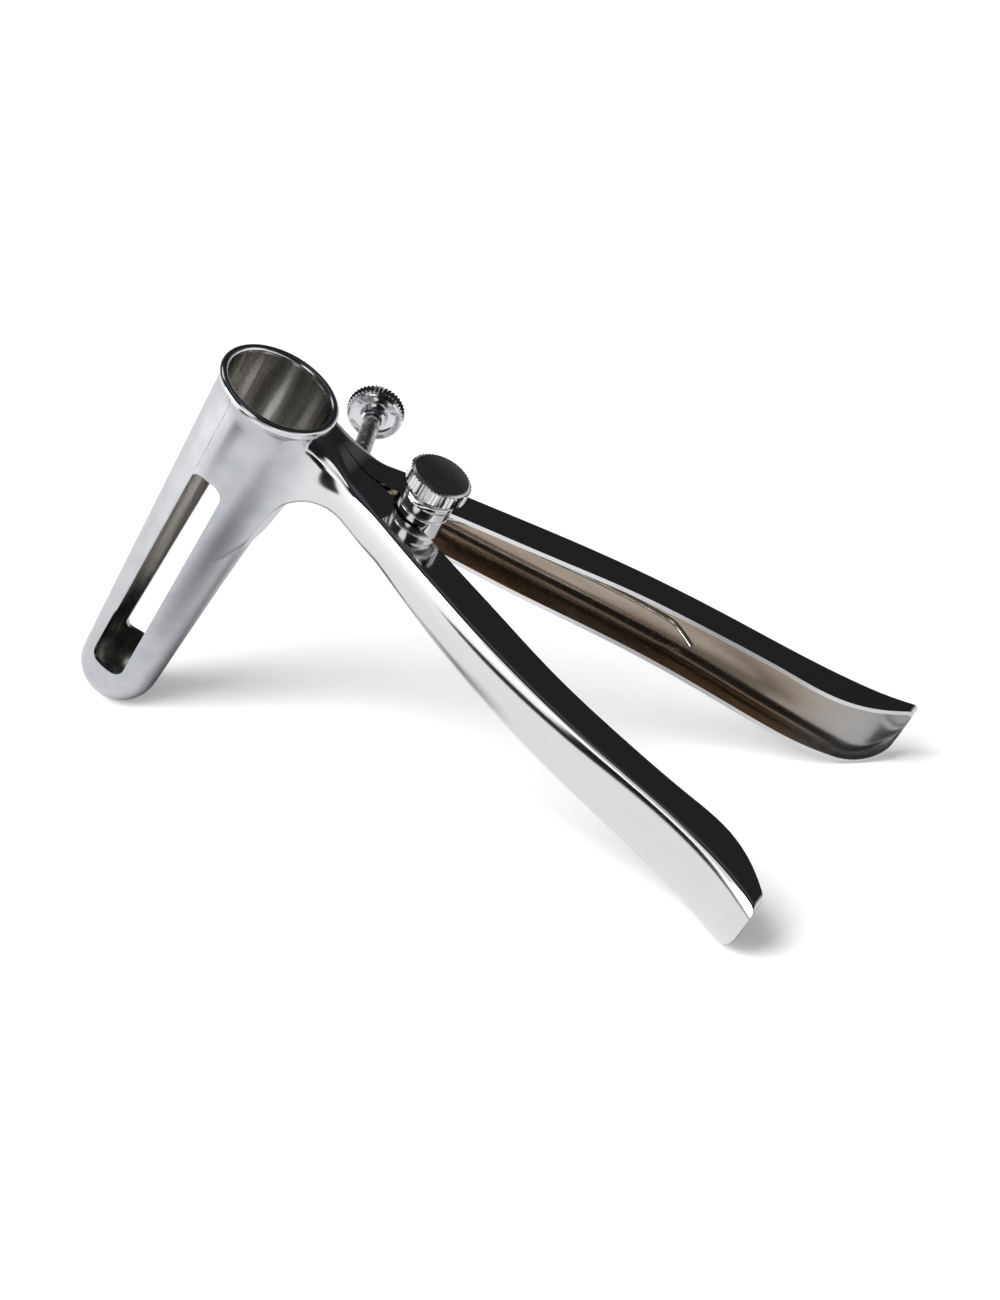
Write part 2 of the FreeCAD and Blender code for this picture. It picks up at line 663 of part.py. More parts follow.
def standing_tilt(blade, handle):
    """Finds the turn about Y at which the blade's tip and the handle's end are equally low."""
    blade_points = outline_points(blade)
    handle_points = outline_points(handle)
    low, high = LEAST_TILT_DEG, MOST_TILT_DEG
    while high - low > STANDING_TOLERANCE / HANDLE_REACH:
        middle = (low + high) / 2
        if min(height(p, middle) for p in handle_points) > min(height(p, middle) for p in blade_points):
            low = middle
        else:
            high = middle
    return (low + high) / 2


def standing_shift(pieces, tilt_deg):
    """Gives the move that puts the base's centre at the origin."""
    points = [p for piece in pieces for p in outline_points(stood(piece, tilt_deg, V(0, 0, 0)))]
    across = (min(p.x for p in points) + max(p.x for p in points)) / 2
    return V(-across, 0, -min(p.z for p in points))


def build():
    """Builds every piece in the instrument's frame."""
    blade = front_blade()
    plain = handle()
    return {
        "front_blade": blade,
        "rear_blade": mirrored(blade),
        "front_handle": front_handle(plain),
        "rear_handle": rear_handle(plain),
        "front_upper_knuckle": front_upper_knuckle(),
        "front_lower_knuckle": front_lower_knuckle(),
        "rear_upper_knuckle": rear_upper_knuckle(),
        "rear_lower_knuckle": rear_lower_knuckle(),
        "hinge_washer": hinge_washer(),
        "hinge_screw": hinge_screw(),
        "spring_coil": spring_coil(),
        "spring_front_leg": spring_leg(-1, coil_low()),
        "spring_rear_leg": spring_leg(1, coil_top()),
        "set_screw_boss": set_screw_boss(),
        "set_screw_stem": set_screw_stem(),
        "set_screw_knob": set_screw_knob(),
        "thrust_pad": thrust_pad(),
    }


def main():
    """Builds the pieces, stands them up and writes one file for each."""
    os.makedirs("parts", exist_ok=True)
    pieces = build()
    tilt = standing_tilt(pieces["rear_blade"], pieces["rear_handle"])
    shift = standing_shift(pieces.values(), tilt)
    print("standing tilt", round(tilt, 4), "shift", shift)
    for name, piece in pieces.items():
        placed = stood(piece, tilt, shift)
        if not placed.isValid() or placed.Volume <= 0:
            raise RuntimeError(name + " is not a sound solid")
        if len(placed.Solids) == 1:
            placed = placed.Solids[0]
        else:
            print(name, "solids", len(placed.Solids), [round(s.Volume, 3) for s in placed.Solids])
        placed.exportStep("parts/" + name + ".step")
        print(name, round(placed.Volume, 2), placed.BoundBox)


main()
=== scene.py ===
"""Looks of the bivalve speculum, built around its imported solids.

Pieces are drawn in the instrument's own frame in millimetres: the mouth's centre is the origin, the
tube runs down -Z, the handles run out along +X, and y = 0 parts the front half (-Y) from the rear
half (+Y). Every point is then stood up into the row frame, in metres.
"""

import json
import logging
import math
from dataclasses import dataclass
from enum import Enum
from typing import Callable, Optional, Sequence

import bmesh
import bpy
import numpy as np
from mathutils import Matrix, Vector

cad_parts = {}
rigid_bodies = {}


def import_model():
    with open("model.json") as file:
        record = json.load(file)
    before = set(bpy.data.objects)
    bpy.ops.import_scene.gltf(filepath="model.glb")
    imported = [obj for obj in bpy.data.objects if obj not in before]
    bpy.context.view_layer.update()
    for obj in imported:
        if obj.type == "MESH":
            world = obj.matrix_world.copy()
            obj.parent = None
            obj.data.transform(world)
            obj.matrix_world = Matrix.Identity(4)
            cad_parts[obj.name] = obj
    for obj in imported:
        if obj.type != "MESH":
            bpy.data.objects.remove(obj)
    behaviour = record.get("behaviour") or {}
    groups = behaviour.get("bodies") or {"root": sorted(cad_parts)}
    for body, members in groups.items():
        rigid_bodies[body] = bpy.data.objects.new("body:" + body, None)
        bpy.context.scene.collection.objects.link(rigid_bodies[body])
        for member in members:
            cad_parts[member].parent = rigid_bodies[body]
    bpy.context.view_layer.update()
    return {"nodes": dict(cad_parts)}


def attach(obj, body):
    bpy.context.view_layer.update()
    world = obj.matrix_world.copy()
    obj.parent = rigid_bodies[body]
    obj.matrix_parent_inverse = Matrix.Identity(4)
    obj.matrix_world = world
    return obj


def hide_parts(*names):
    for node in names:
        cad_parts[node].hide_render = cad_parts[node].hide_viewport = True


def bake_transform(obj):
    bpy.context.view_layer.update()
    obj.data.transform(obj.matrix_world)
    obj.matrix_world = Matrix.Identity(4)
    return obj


for start_object in list(bpy.data.objects):
    bpy.data.objects.remove(start_object)
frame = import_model()

LOG = logging.getLogger("speculum")
Points = np.ndarray

MM = 0.001
STANDING_TILT_DEG = 28.1978
STANDING_SHIFT_MM = (-40.1197, 0.0, 86.2215)
WELD_MM = 0.004
SLIVER_MM = 0.002

# The tube's shape, which the blades and the necks share.
MOUTH_RADIUS = 13.6
TIP_RADIUS = 9.5
TUBE_LENGTH = 98.0
TUBE_LEAN_DEG = 1.7
HINGE_X = 41.0


class Side(Enum):
    """The two mirrored halves of the instrument."""

    FRONT = -1.0
    REAR = 1.0


def stand_matrix() -> Matrix:
    """Gives the move from the instrument's frame in millimetres to the row frame in metres."""
    turn = Matrix.Rotation(math.radians(STANDING_TILT_DEG), 4, "Y")
    return Matrix.Scale(MM, 4) @ Matrix.Translation(STANDING_SHIFT_MM) @ turn


def stood(point: Sequence[float]) -> Vector:
    """Gives one point of the instrument's frame in the row frame."""
    return stand_matrix() @ Vector(point)


def smooth(value: float) -> float:
    """Gives the smooth step of a value between 0 and 1."""
    t = min(max(value, 0.0), 1.0)
    return t * t * (3.0 - 2.0 * t)


def apron_share(z: float) -> float:
    """Gives how much of the apron is left at a height: all of it near the mouth, none far down the tube."""
    return 1.0 - smooth((-z - 22.0) / 34.0)


def linear(code: str) -> tuple[float, float, float, float]:
    """Turns an sRGB colour of six hex digits into a linear one that is opaque."""
    parts = [int(code[i:i + 2], 16) / 255.0 for i in (0, 2, 4)]
    red, green, blue = (p / 12.92 if p <= 0.04045 else ((p + 0.055) / 1.055) ** 2.4 for p in parts)
    return red, green, blue, 1.0


class NaturalSpline:
    """A natural cubic spline through a table of values."""

    def __init__(self, xs: Sequence[float], ys: Sequence[Sequence[float]]) -> None:
        """Solves the spline's second derivatives.

        Args:
            xs: The places of the knots, rising.
            ys: One row of values for each knot.
        """
        self.x = np.asarray(xs, float)
        self.y = np.asarray(ys, float)
        count = len(self.x)
        step = np.diff(self.x)
        left = np.eye(count)
        right = np.zeros_like(self.y)
        for k in range(1, count - 1):
            left[k, k - 1:k + 2] = (step[k - 1], 2 * (step[k - 1] + step[k]), step[k])
            right[k] = 6 * ((self.y[k + 1] - self.y[k]) / step[k] - (self.y[k] - self.y[k - 1]) / step[k - 1])
        self.bend = np.linalg.solve(left, right)

    def at(self, x: float) -> Points:
        """Gives the row of values at one place."""
        k = int(np.clip(np.searchsorted(self.x, x) - 1, 0, len(self.x) - 2))
        h = self.x[k + 1] - self.x[k]
        a = (self.x[k + 1] - x) / h
        b = (x - self.x[k]) / h
        curve = (a ** 3 - a) * self.bend[k] + (b ** 3 - b) * self.bend[k + 1]
        return a * self.y[k] + b * self.y[k + 1] + curve * h * h / 6


# Materials


def add_node(tree: bpy.types.NodeTree, kind: str, settings: Optional[dict] = None,
             inputs: Optional[dict] = None) -> bpy.types.Node:
    """Adds a node with its settings and its inputs.

    Args:
        tree: The tree that gets the node.
        kind: The node's type.
        settings: Properties to set on the node.
        inputs: Input name or number to a value, or to an output socket that is linked.

    Returns:
        The new node.
    """
    node = tree.nodes.new(kind)
    for key, value in (settings or {}).items():
        setattr(node, key, value)
    for key, value in (inputs or {}).items():
        if isinstance(value, bpy.types.NodeSocket):
            tree.links.new(value, node.inputs[key])
        else:
            node.inputs[key].default_value = value
    return node


def ramp(tree: bpy.types.NodeTree, factor: bpy.types.NodeSocket,
         stops: Sequence[tuple[float, tuple]]) -> bpy.types.NodeSocket:
    """Adds a colour ramp.

    Args:
        tree: The tree that gets the node.
        factor: The socket that drives the ramp.
        stops: Position and linear colour of each stop.

    Returns:
        The ramp's colour output.
    """
    node = add_node(tree, "ShaderNodeValToRGB", inputs={"Fac": factor})
    elements = node.color_ramp.elements
    while len(elements) < len(stops):
        elements.new(1.0)
    for element, (place, colour) in zip(elements, stops):
        element.position = place
        element.color = colour
    return node.outputs["Color"]


def eased(tree: bpy.types.NodeTree, value: bpy.types.NodeSocket, start: float, end: float,
          top: float = 1.0) -> bpy.types.NodeSocket:
    """Adds a smooth step.

    Args:
        tree: The tree that gets the node.
        value: The socket that drives the step.
        start: The value where the step is 0.
        end: The value where the step is full.
        top: How high the full step is.

    Returns:
        The step's output.
    """
    return add_node(tree, "ShaderNodeMapRange", {"interpolation_type": "SMOOTHSTEP"}, {
        "Value": value, "From Min": start, "From Max": end, "To Max": top}).outputs["Result"]


def mixed(tree: bpy.types.NodeTree, share: bpy.types.NodeSocket, first: object,
          second: object) -> bpy.types.NodeSocket:
    """Adds a mix of two colours.

    Args:
        tree: The tree that gets the node.
        share: How much of the second colour shows.
        first: The first colour or its socket.
        second: The second colour or its socket.

    Returns:
        The mixed colour's output.
    """
    return add_node(tree, "ShaderNodeMix", {"data_type": "RGBA"}, {0: share, 6: first, 7: second}).outputs[2]


def new_material(name: str) -> bpy.types.Material:
    """Gives a new material with an empty node tree."""
    material = bpy.data.materials.new(name)
    material.use_nodes = True
    material.node_tree.nodes.clear()
    return material


def new_object(name: str, data: bpy.types.ID) -> bpy.types.Object:
    """Gives a new object that is in the scene."""
    made = bpy.data.objects.new(name, data)
    bpy.context.scene.collection.objects.link(made)
    return made


@dataclass(frozen=True)
class MetalFinish:
    """A metal surface: its colours, how even its gloss is, its grain and what changes along the instrument."""

    name: str
    colour: str
    worn_colour: str
    roughness: float
    roughness_spread: float
    cloud_mm: float
    grain_mm: float
    grain_depth: float
    stain_colour: Optional[str] = None
    stain_share: float = 0.0
    stretch: tuple[float, float, float] = (1.0, 1.0, 1.0)
    far_colour: Optional[str] = None
    far_roughness: float = 0.05
    far_span: tuple[float, float] = (0.0, 1.0)

    def build(self) -> bpy.types.Material:
        """Builds the material.

        Returns:
            The new material.
        """
        material = new_material(self.name)
        tree = material.node_tree
        place = add_node(tree, "ShaderNodeMapping", {"vector_type": "TEXTURE"}, {
            "Vector": add_node(tree, "ShaderNodeTexCoord").outputs["Object"],
            "Location": [v * MM for v in STANDING_SHIFT_MM],
            "Rotation": (0.0, math.radians(STANDING_TILT_DEG), 0.0)}).outputs["Vector"]
        drawn = add_node(tree, "ShaderNodeMapping", inputs={"Vector": place, "Scale": self.stretch}).outputs["Vector"]
        cloud = add_node(tree, "ShaderNodeTexNoise", inputs={
            "Vector": drawn, "Scale": 1.0 / (self.cloud_mm * MM), "Detail": 5.0, "Roughness": 0.6}).outputs["Fac"]
        grain = add_node(tree, "ShaderNodeTexNoise", inputs={
            "Vector": drawn, "Scale": 1.0 / (self.grain_mm * MM), "Detail": 3.0}).outputs["Fac"]
        colour = ramp(tree, cloud, ((0.36, linear(self.worn_colour)), (0.62, linear(self.colour))))
        gloss = add_node(tree, "ShaderNodeMapRange", inputs={
            "Value": cloud, "From Min": 0.3, "From Max": 0.7,
            "To Min": self.roughness + self.roughness_spread, "To Max": self.roughness}).outputs["Result"]
        if self.stain_colour:
            colour = self.add_stain(tree, place, colour)
        if self.far_colour:
            colour, gloss = self.add_change(tree, place, colour, gloss)
        relief = add_node(tree, "ShaderNodeBump", inputs={
            "Height": grain, "Strength": 1.0, "Distance": self.grain_depth * MM})
        shader = add_node(tree, "ShaderNodeBsdfPrincipled", inputs={
            "Base Color": colour, "Roughness": gloss, "Metallic": 1.0, "Normal": relief.outputs["Normal"]})
        add_node(tree, "ShaderNodeOutputMaterial", inputs={"Surface": shader.outputs["BSDF"]})
        return material

    def add_stain(self, tree: bpy.types.NodeTree, place: bpy.types.NodeSocket,
                  colour: bpy.types.NodeSocket) -> bpy.types.NodeSocket:
        """Adds patches of another colour.

        Args:
            tree: The material's tree.
            place: The instrument's coordinates.
            colour: The colour so far.

        Returns:
            The colour with its patches.
        """
        patch = add_node(tree, "ShaderNodeTexNoise", inputs={
            "Vector": place, "Scale": 0.35 / (self.cloud_mm * MM), "Detail": 4.0}).outputs["Fac"]
        share = add_node(tree, "ShaderNodeMapRange", inputs={
            "Value": patch, "From Min": 0.66 - self.stain_share, "From Max": 0.78, "To Max": 0.8}).outputs["Result"]
        return mixed(tree, share, colour, linear(self.stain_colour))

    def add_change(self, tree: bpy.types.NodeTree, place: bpy.types.NodeSocket, colour: bpy.types.NodeSocket,
                   gloss: bpy.types.NodeSocket) -> tuple[bpy.types.NodeSocket, bpy.types.NodeSocket]:
        """Lets the surface change along the handles.

        Args:
            tree: The material's tree.
            place: The instrument's coordinates.
            colour: The colour so far.
            gloss: The roughness so far.

        Returns:
            The changed colour and roughness.
        """
        along = add_node(tree, "ShaderNodeSeparateXYZ", inputs={"Vector": place}).outputs["X"]
        share = eased(tree, along, self.far_span[0] * MM, self.far_span[1] * MM)
        rough = add_node(tree, "ShaderNodeMix", inputs={0: share, 2: gloss, 3: self.far_roughness}).outputs[0]
        return mixed(tree, share, colour, linear(self.far_colour)), rough


# Nickel-chrome plate over brass or steel, buffed on a wheel: a mirror with faint buffing waves.
MIRROR_PLATE = MetalFinish("mirror_buffed_chrome_plate", "E4E4E5", "DCDDDF", 0.09, 0.02, 14.0, 8.0, 0.001)
# Flat top of the turned head: the same plate with the lathe's fine marks left in.
TURNED_PLATE = MetalFinish("turned_chrome_plate", "DADBDC", "C6C8CA", 0.22, 0.10, 4.0, 0.5, 0.004)
# Blades: plated sheet that cleaning has dulled, so its mirror is soft and faintly clouded.
BLADE_PLATE = MetalFinish("clouded_chrome_plate", "CDCED0", "C0C2C8", 0.18, 0.05, 6.0, 1.2, 0.002, "C8C4BB", 0.06)
# Handles: as dull as the blades where the neck grows out of them, and a full mirror from the waist on.
HANDLE_PLATE = MetalFinish("buffed_handle_plate", "CDCED0", "C0C2C8", 0.18, 0.05, 6.0, 6.0, 0.001,
                           far_colour="E2E2E3", far_roughness=0.08, far_span=(11.0, 18.0))
# Inside of the tube: left as drawn, with a brown bloom from the brazing heat.
TUBE_INSIDE = MetalFinish("drawn_tube_inside", "D2D0CC", "9A9894", 0.22, 0.10, 2.2, 0.8, 0.006, "7A5C3A", 0.06,
                          (1.0, 1.0, 0.06))
# Inside of the pressed channels: plate that the wheel doesn't reach, brown, but bright near the open end.
CHANNEL_INSIDE = MetalFinish("unbuffed_channel_inside", "BAADA1", "A39689", 0.17, 0.04, 9.0, 6.0, 0.001,
                             stretch=(0.12, 1.0, 1.0), far_colour="B4B4B4", far_roughness=0.3,
                             far_span=(126.0, 150.0))
# Patented spring wire, drawn and left bright.
SPRING_WIRE = MetalFinish("drawn_spring_wire", "D9D8D4", "B9B9B3", 0.16, 0.08, 2.0, 0.5, 0.004)
# Bronze brazing alloy that shows as a thin line where the apron ends.
BRAZE_LINE = MetalFinish("bronze_braze_line", "B8A98C", "8E7A5C", 0.35, 0.15, 1.5, 0.5, 0.01)


class Finishes:
    """Builds each finish once and hands it out."""

    def __init__(self) -> None:
        """Starts with nothing built."""
        self.built: dict[str, bpy.types.Material] = {}

    def get(self, finish: MetalFinish) -> bpy.types.Material:
        """Gives the material of one finish."""
        if finish.name not in self.built:
            self.built[finish.name] = finish.build()
        return self.built[finish.name]


# Meshes


@dataclass
class Shell:
    """Points and faces of a piece while it is drawn, in the instrument's frame."""

    points: list
    faces: list
    slots: list

    @staticmethod
    def empty() -> "Shell":
        """Gives a shell with nothing in it."""
        return Shell([], [], [])

    def add_grid(self, grid: Points, slot: int = 0, close_columns: bool = False, flip: bool = False) -> Points:
        """Adds a grid of points and its faces.

        Args:
            grid: Rows by columns by three.
            slot: The material slot of its faces.
            close_columns: Whether the last column meets the first.
            flip: Whether the faces are turned over.

        Returns:
            The numbers of the grid's points.
        """
        rows, columns = grid.shape[:2]
        numbers = len(self.points) + np.arange(rows * columns).reshape(rows, columns)
        self.points.extend(grid.reshape(-1, 3).tolist())
        for i in range(rows - 1):
            for j in range(columns if close_columns else columns - 1):
                j2 = (j + 1) % columns
                face = [numbers[i, j], numbers[i, j2], numbers[i + 1, j2], numbers[i + 1, j]]
                self.add_face(face[::-1] if flip else face, slot)
        return numbers

    def add_face(self, face: Sequence[int], slot: int = 0) -> None:
        """Adds one face."""
        self.faces.append([int(n) for n in face])
        self.slots.append(slot)

    def add_strip(self, first: Sequence[int], second: Sequence[int]) -> None:
        """Adds faces between two lines of points, which are given by their numbers."""
        for k in range(len(first) - 1):
            self.add_face([first[k], first[k + 1], second[k + 1], second[k]])

    def piece(self, name: str, materials: Sequence[bpy.types.Material], sharp_deg: float,
              bevel_mm: float = 0.0, mirror: bool = False) -> bpy.types.Object:
        """Makes the object: closed, faces outwards, standing in the row frame.

        Args:
            name: The piece's name.
            materials: One material for each slot.
            sharp_deg: The angle past which an edge is shaded sharp.
            bevel_mm: The round on sharp edges, or 0 for none.
            mirror: Whether the piece is mirrored to the other side of y = 0.

        Returns:
            The new object.
        """
        mesh = bpy.data.meshes.new(name)
        mesh.from_pydata(self.points, [], self.faces)
        mesh.polygons.foreach_set("material_index", self.slots)
        work = bmesh.new()
        work.from_mesh(mesh)
        bmesh.ops.remove_doubles(work, verts=work.verts, dist=WELD_MM)
        bmesh.ops.dissolve_degenerate(work, edges=work.edges, dist=SLIVER_MM)
        if mirror:
            bmesh.ops.scale(work, verts=work.verts, vec=(1.0, -1.0, 1.0))
        bmesh.ops.transform(work, matrix=stand_matrix(), verts=work.verts)
        bmesh.ops.recalc_face_normals(work, faces=work.faces)
        work.to_mesh(mesh)
        work.free()
        mesh.polygons.foreach_set("use_smooth", [True] * len(mesh.polygons))
        mesh.set_sharp_from_angle(angle=math.radians(sharp_deg))
        for material in materials:
            mesh.materials.append(material)
        piece = new_object(name, mesh)
        if bevel_mm:
            bevel = piece.modifiers.new("edge_round", "BEVEL")
            bevel.width = bevel_mm * MM
            bevel.segments = 3
            bevel.limit_method = "ANGLE"
            bevel.angle_limit = math.radians(sharp_deg)
            bevel.harden_normals = True
            settle(piece)
        return piece


def settle(piece: bpy.types.Object) -> None:
    """Turns a piece's modifiers into plain mesh."""
    graph = bpy.context.evaluated_depsgraph_get()
    mesh = bpy.data.meshes.new_from_object(piece.evaluated_get(graph))
    mesh.name = piece.name
    piece.modifiers.clear()
    piece.data = mesh


def joined(name: str, pieces: Sequence[bpy.types.Object]) -> bpy.types.Object:
    """Joins pieces into one object.

    Args:
        name: The joined object's name.
        pieces: The pieces, which are used up.

    Returns:
        The joined object.
    """
    with bpy.context.temp_override(active_object=pieces[0], selected_editable_objects=list(pieces)):
        bpy.ops.object.join()
    pieces[0].name = name
    pieces[0].data.name = name
    return pieces[0]


def turned_grid(profile: Sequence[tuple[float, float]], segments: int) -> Points:
    """Gives the grid of a turned piece about its own Z.

    Args:
        profile: Radius and height of each point.
        segments: How many columns go round.

    Returns:
        Rows by columns by three.
    """
    angles = np.linspace(0, 2 * math.pi, segments, endpoint=False)
    return np.array([[(r * math.cos(a), r * math.sin(a), z) for a in angles] for r, z in profile])


# Blades


@dataclass
class Blade:
    """Half of the tapered tube: rolled lip, long slot and round tip, with the handle's apron over its top."""

    side: Side
    mouth_radius: float = MOUTH_RADIUS
    tip_radius: float = TIP_RADIUS
    length: float = TUBE_LENGTH
    wall: float = 1.1
    lean_deg: float = TUBE_LEAN_DEG
    parting: float = 0.1
    slot_half: float = 4.4
    slot_top: float = -22.5
    slot_end: float = -85.8
    slot_offset: float = -0.8
    top_corner: float = 3.4
    end_corner: float = 2.2
    mouth_bore: float = 12.5
    lip_centre: tuple[float, float] = (13.4, -0.15)
    lip_half: tuple[float, float] = (1.0, 0.95)
    seam_deg: float = 113.0
    apron: float = 0.28
    lip_swell: float = 0.62
    seam_depth: float = 0.14
    seam_half: float = 0.22
    slot_columns: tuple[int, int] = (33, 45)

    def radius(self, z: float, inset: float) -> float:
        """Gives the tube's radius at a height, set in by a wall."""
        straight = self.length - self.tip_radius
        return self.mouth_radius - inset + (self.mouth_radius - self.tip_radius) * min(z, 0.0) / straight

    def wall_rows(self) -> list[float]:
        """Gives the heights of the rows down the straight part."""
        top = [-0.9, -1.2, -1.6, -2.1, -2.8, -5.0, -9.0, -13.0, -17.0, -20.5]
        corner = [0.0, 0.06, 0.25, 0.55, 1.0, 1.6, 2.4, 3.4]
        rows = top + [self.slot_top - d for d in corner]
        rows += list(np.linspace(self.slot_top - 5.5, self.slot_end + 4.0, 16))
        scale = self.end_corner / self.top_corner
        rows += [self.slot_end + d * scale for d in corner[::-1]]
        rows += [self.slot_end - 1.2, -(self.length - self.tip_radius)]
        return rows

    def slot_reach(self, z: float) -> float:
        """Gives half the slot's width at a height, with its rounded corners."""
        if z >= self.slot_top:
            return self.slot_half - self.top_corner
        if z <= self.slot_end:
            return self.slot_half - self.end_corner
        down, up = self.slot_top - z, z - self.slot_end
        for corner, past in ((self.top_corner, down), (self.end_corner, up)):
            if past < corner:
                return self.slot_half - corner + math.sqrt(corner ** 2 - (corner - past) ** 2)
        return self.slot_half

    def angles(self, z: float, r: float) -> list[float]:
        """Gives the angles of one row's columns, from +X round to -X."""
        half = self.slot_reach(z)
        hem = math.asin(min(self.parting / max(r, 0.2), 0.5))
        near = math.acos((self.slot_offset + half) / r)
        far = math.acos((self.slot_offset - half) / r)
        first, last = self.slot_columns
        right = list(np.linspace(hem, near, first + 1))
        middle = list(np.linspace(near, far, last - first + 1))[1:]
        seam = math.radians(self.seam_deg)
        left = list(np.linspace(far, max(seam + 0.16, far + 0.08), 26))[1:]
        rest = list(np.linspace(left[-1], math.pi - hem, 22))[1:]
        return right + middle + left + rest

    def apron_rise(self, angle: float, z: float) -> float:
        """Gives how far the apron stands on the tube: full near the neck, with a groove at its seam."""
        seam = math.radians(self.seam_deg)
        across = (seam - angle) * self.radius(z, 0.0)
        step = smooth(0.5 + across)
        groove = math.exp(-(across / self.seam_half) ** 2) if z > self.slot_top - 2.5 else 0.0
        bulge = self.lip_swell * (1.0 - smooth((-z - 0.6) / 2.0))
        return self.apron * step * apron_share(z) - self.seam_depth * groove + bulge

    def run(self, inset: float, rise: bool) -> list[list[tuple[float, float, float]]]:
        """Gives the rows of one skin, from under the lip down to the tip's pole."""
        rows = []
        for z in self.wall_rows():
            r = self.radius(z, inset)
            row = []
            for a in self.angles(z, r):
                reach = r + (self.apron_rise(a, z) if rise else 0.0)
                row.append((reach * math.cos(a), -reach * math.sin(a), z))
            rows.append(row)
        low = -(self.length - self.tip_radius)
        r = self.tip_radius - inset
        columns = self.angles(low, r)
        for turn in np.linspace(0, math.pi / 2, 12)[1:]:
            reach = max(r * math.cos(turn), 0.02)
            rows.append([(reach * math.cos(a), -reach * math.sin(a), low - r * math.sin(turn)) for a in columns])
        return rows

    def lip_rows(self, columns: Sequence[float]) -> list[list[tuple[float, float, float]]]:
        """Gives the rows over the lip, from inside to outside."""
        bore = self.mouth_bore
        rows = [[(bore * math.cos(a), -bore * math.sin(a), -0.5) for a in columns]]
        for turn in np.radians(np.linspace(172, -20, 16)):
            r = self.lip_centre[0] + self.lip_half[0] * math.cos(turn)
            z = self.lip_centre[1] + self.lip_half[1] * math.sin(turn)
            rows.append([(r * math.cos(a), -r * math.sin(a), z) for a in columns])
        return rows

    def build(self, finishes: Finishes) -> bpy.types.Object:
        """Builds the blade.

        Args:
            finishes: The materials.

        Returns:
            The blade's object.
        """
        shell = Shell.empty()
        outer = self.run(0.0, True)
        inner = self.run(self.wall, False)
        lip = self.lip_rows(self.angles(0.0, self.mouth_radius))
        grid = np.array(inner[::-1] + lip + outer)
        lean = Matrix.Rotation(math.radians(self.lean_deg), 3, "Y")
        grid = grid @ np.array(lean).T
        rows, columns = grid.shape[:2]
        numbers = np.arange(rows * columns).reshape(rows, columns)
        shell.points.extend(grid.reshape(-1, 3).tolist())
        heights = self.wall_rows()
        skin = len(outer)
        first, last = heights.index(self.slot_top), heights.index(self.slot_end)
        gap_in = range(skin - 1 - last, skin - 1 - first)
        start_out = skin + len(lip)
        gap_out = range(start_out + first, start_out + last)
        near, far = self.slot_columns
        for i in range(rows - 1):
            slot = 1 if i < skin else (2 if i < start_out else 0)
            for j in range(columns - 1):
                if near <= j < far and (i in gap_in or i in gap_out):
                    continue
                on_seam = start_out <= i < start_out + first and abs(self.seam_offset(grid, i, j)) < 0.2
                shell.add_face([numbers[i, j], numbers[i, j + 1], numbers[i + 1, j + 1], numbers[i + 1, j]],
                               3 if on_seam else slot)
        inside, outside = numbers[skin - 1::-1], numbers[start_out:]
        down, across = slice(first, last + 1), slice(near, far + 1)
        for line in ((down, near), (down, far), (first, across), (last, across)):
            shell.add_strip(inside[line], outside[line])
        for j in (0, columns - 1):
            shell.add_strip(inside[:, j], outside[:, j])
            shell.add_face(numbers[skin - 1:start_out + 1, j])
        materials = [finishes.get(f) for f in (BLADE_PLATE, TUBE_INSIDE, MIRROR_PLATE, BRAZE_LINE)]
        name = "front_blade_shell" if self.side is Side.FRONT else "rear_blade_shell"
        piece = shell.piece(name, materials, sharp_deg=38.0, bevel_mm=0.18, mirror=self.side is Side.REAR)
        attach(piece, "front" if self.side is Side.FRONT else "rear")
        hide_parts("front_blade" if self.side is Side.FRONT else "rear_blade")
        return piece

    def seam_offset(self, grid: Points, i: int, j: int) -> float:
        """Gives how far along the tube's skin one face of the grid lies from the seam."""
        x, y, z = (grid[i, j] + grid[i, j + 1]) / 2
        angle = math.atan2(-y, x - math.sin(math.radians(self.lean_deg)) * z)
        return (math.radians(self.seam_deg) - angle) * self.mouth_radius


# Handles


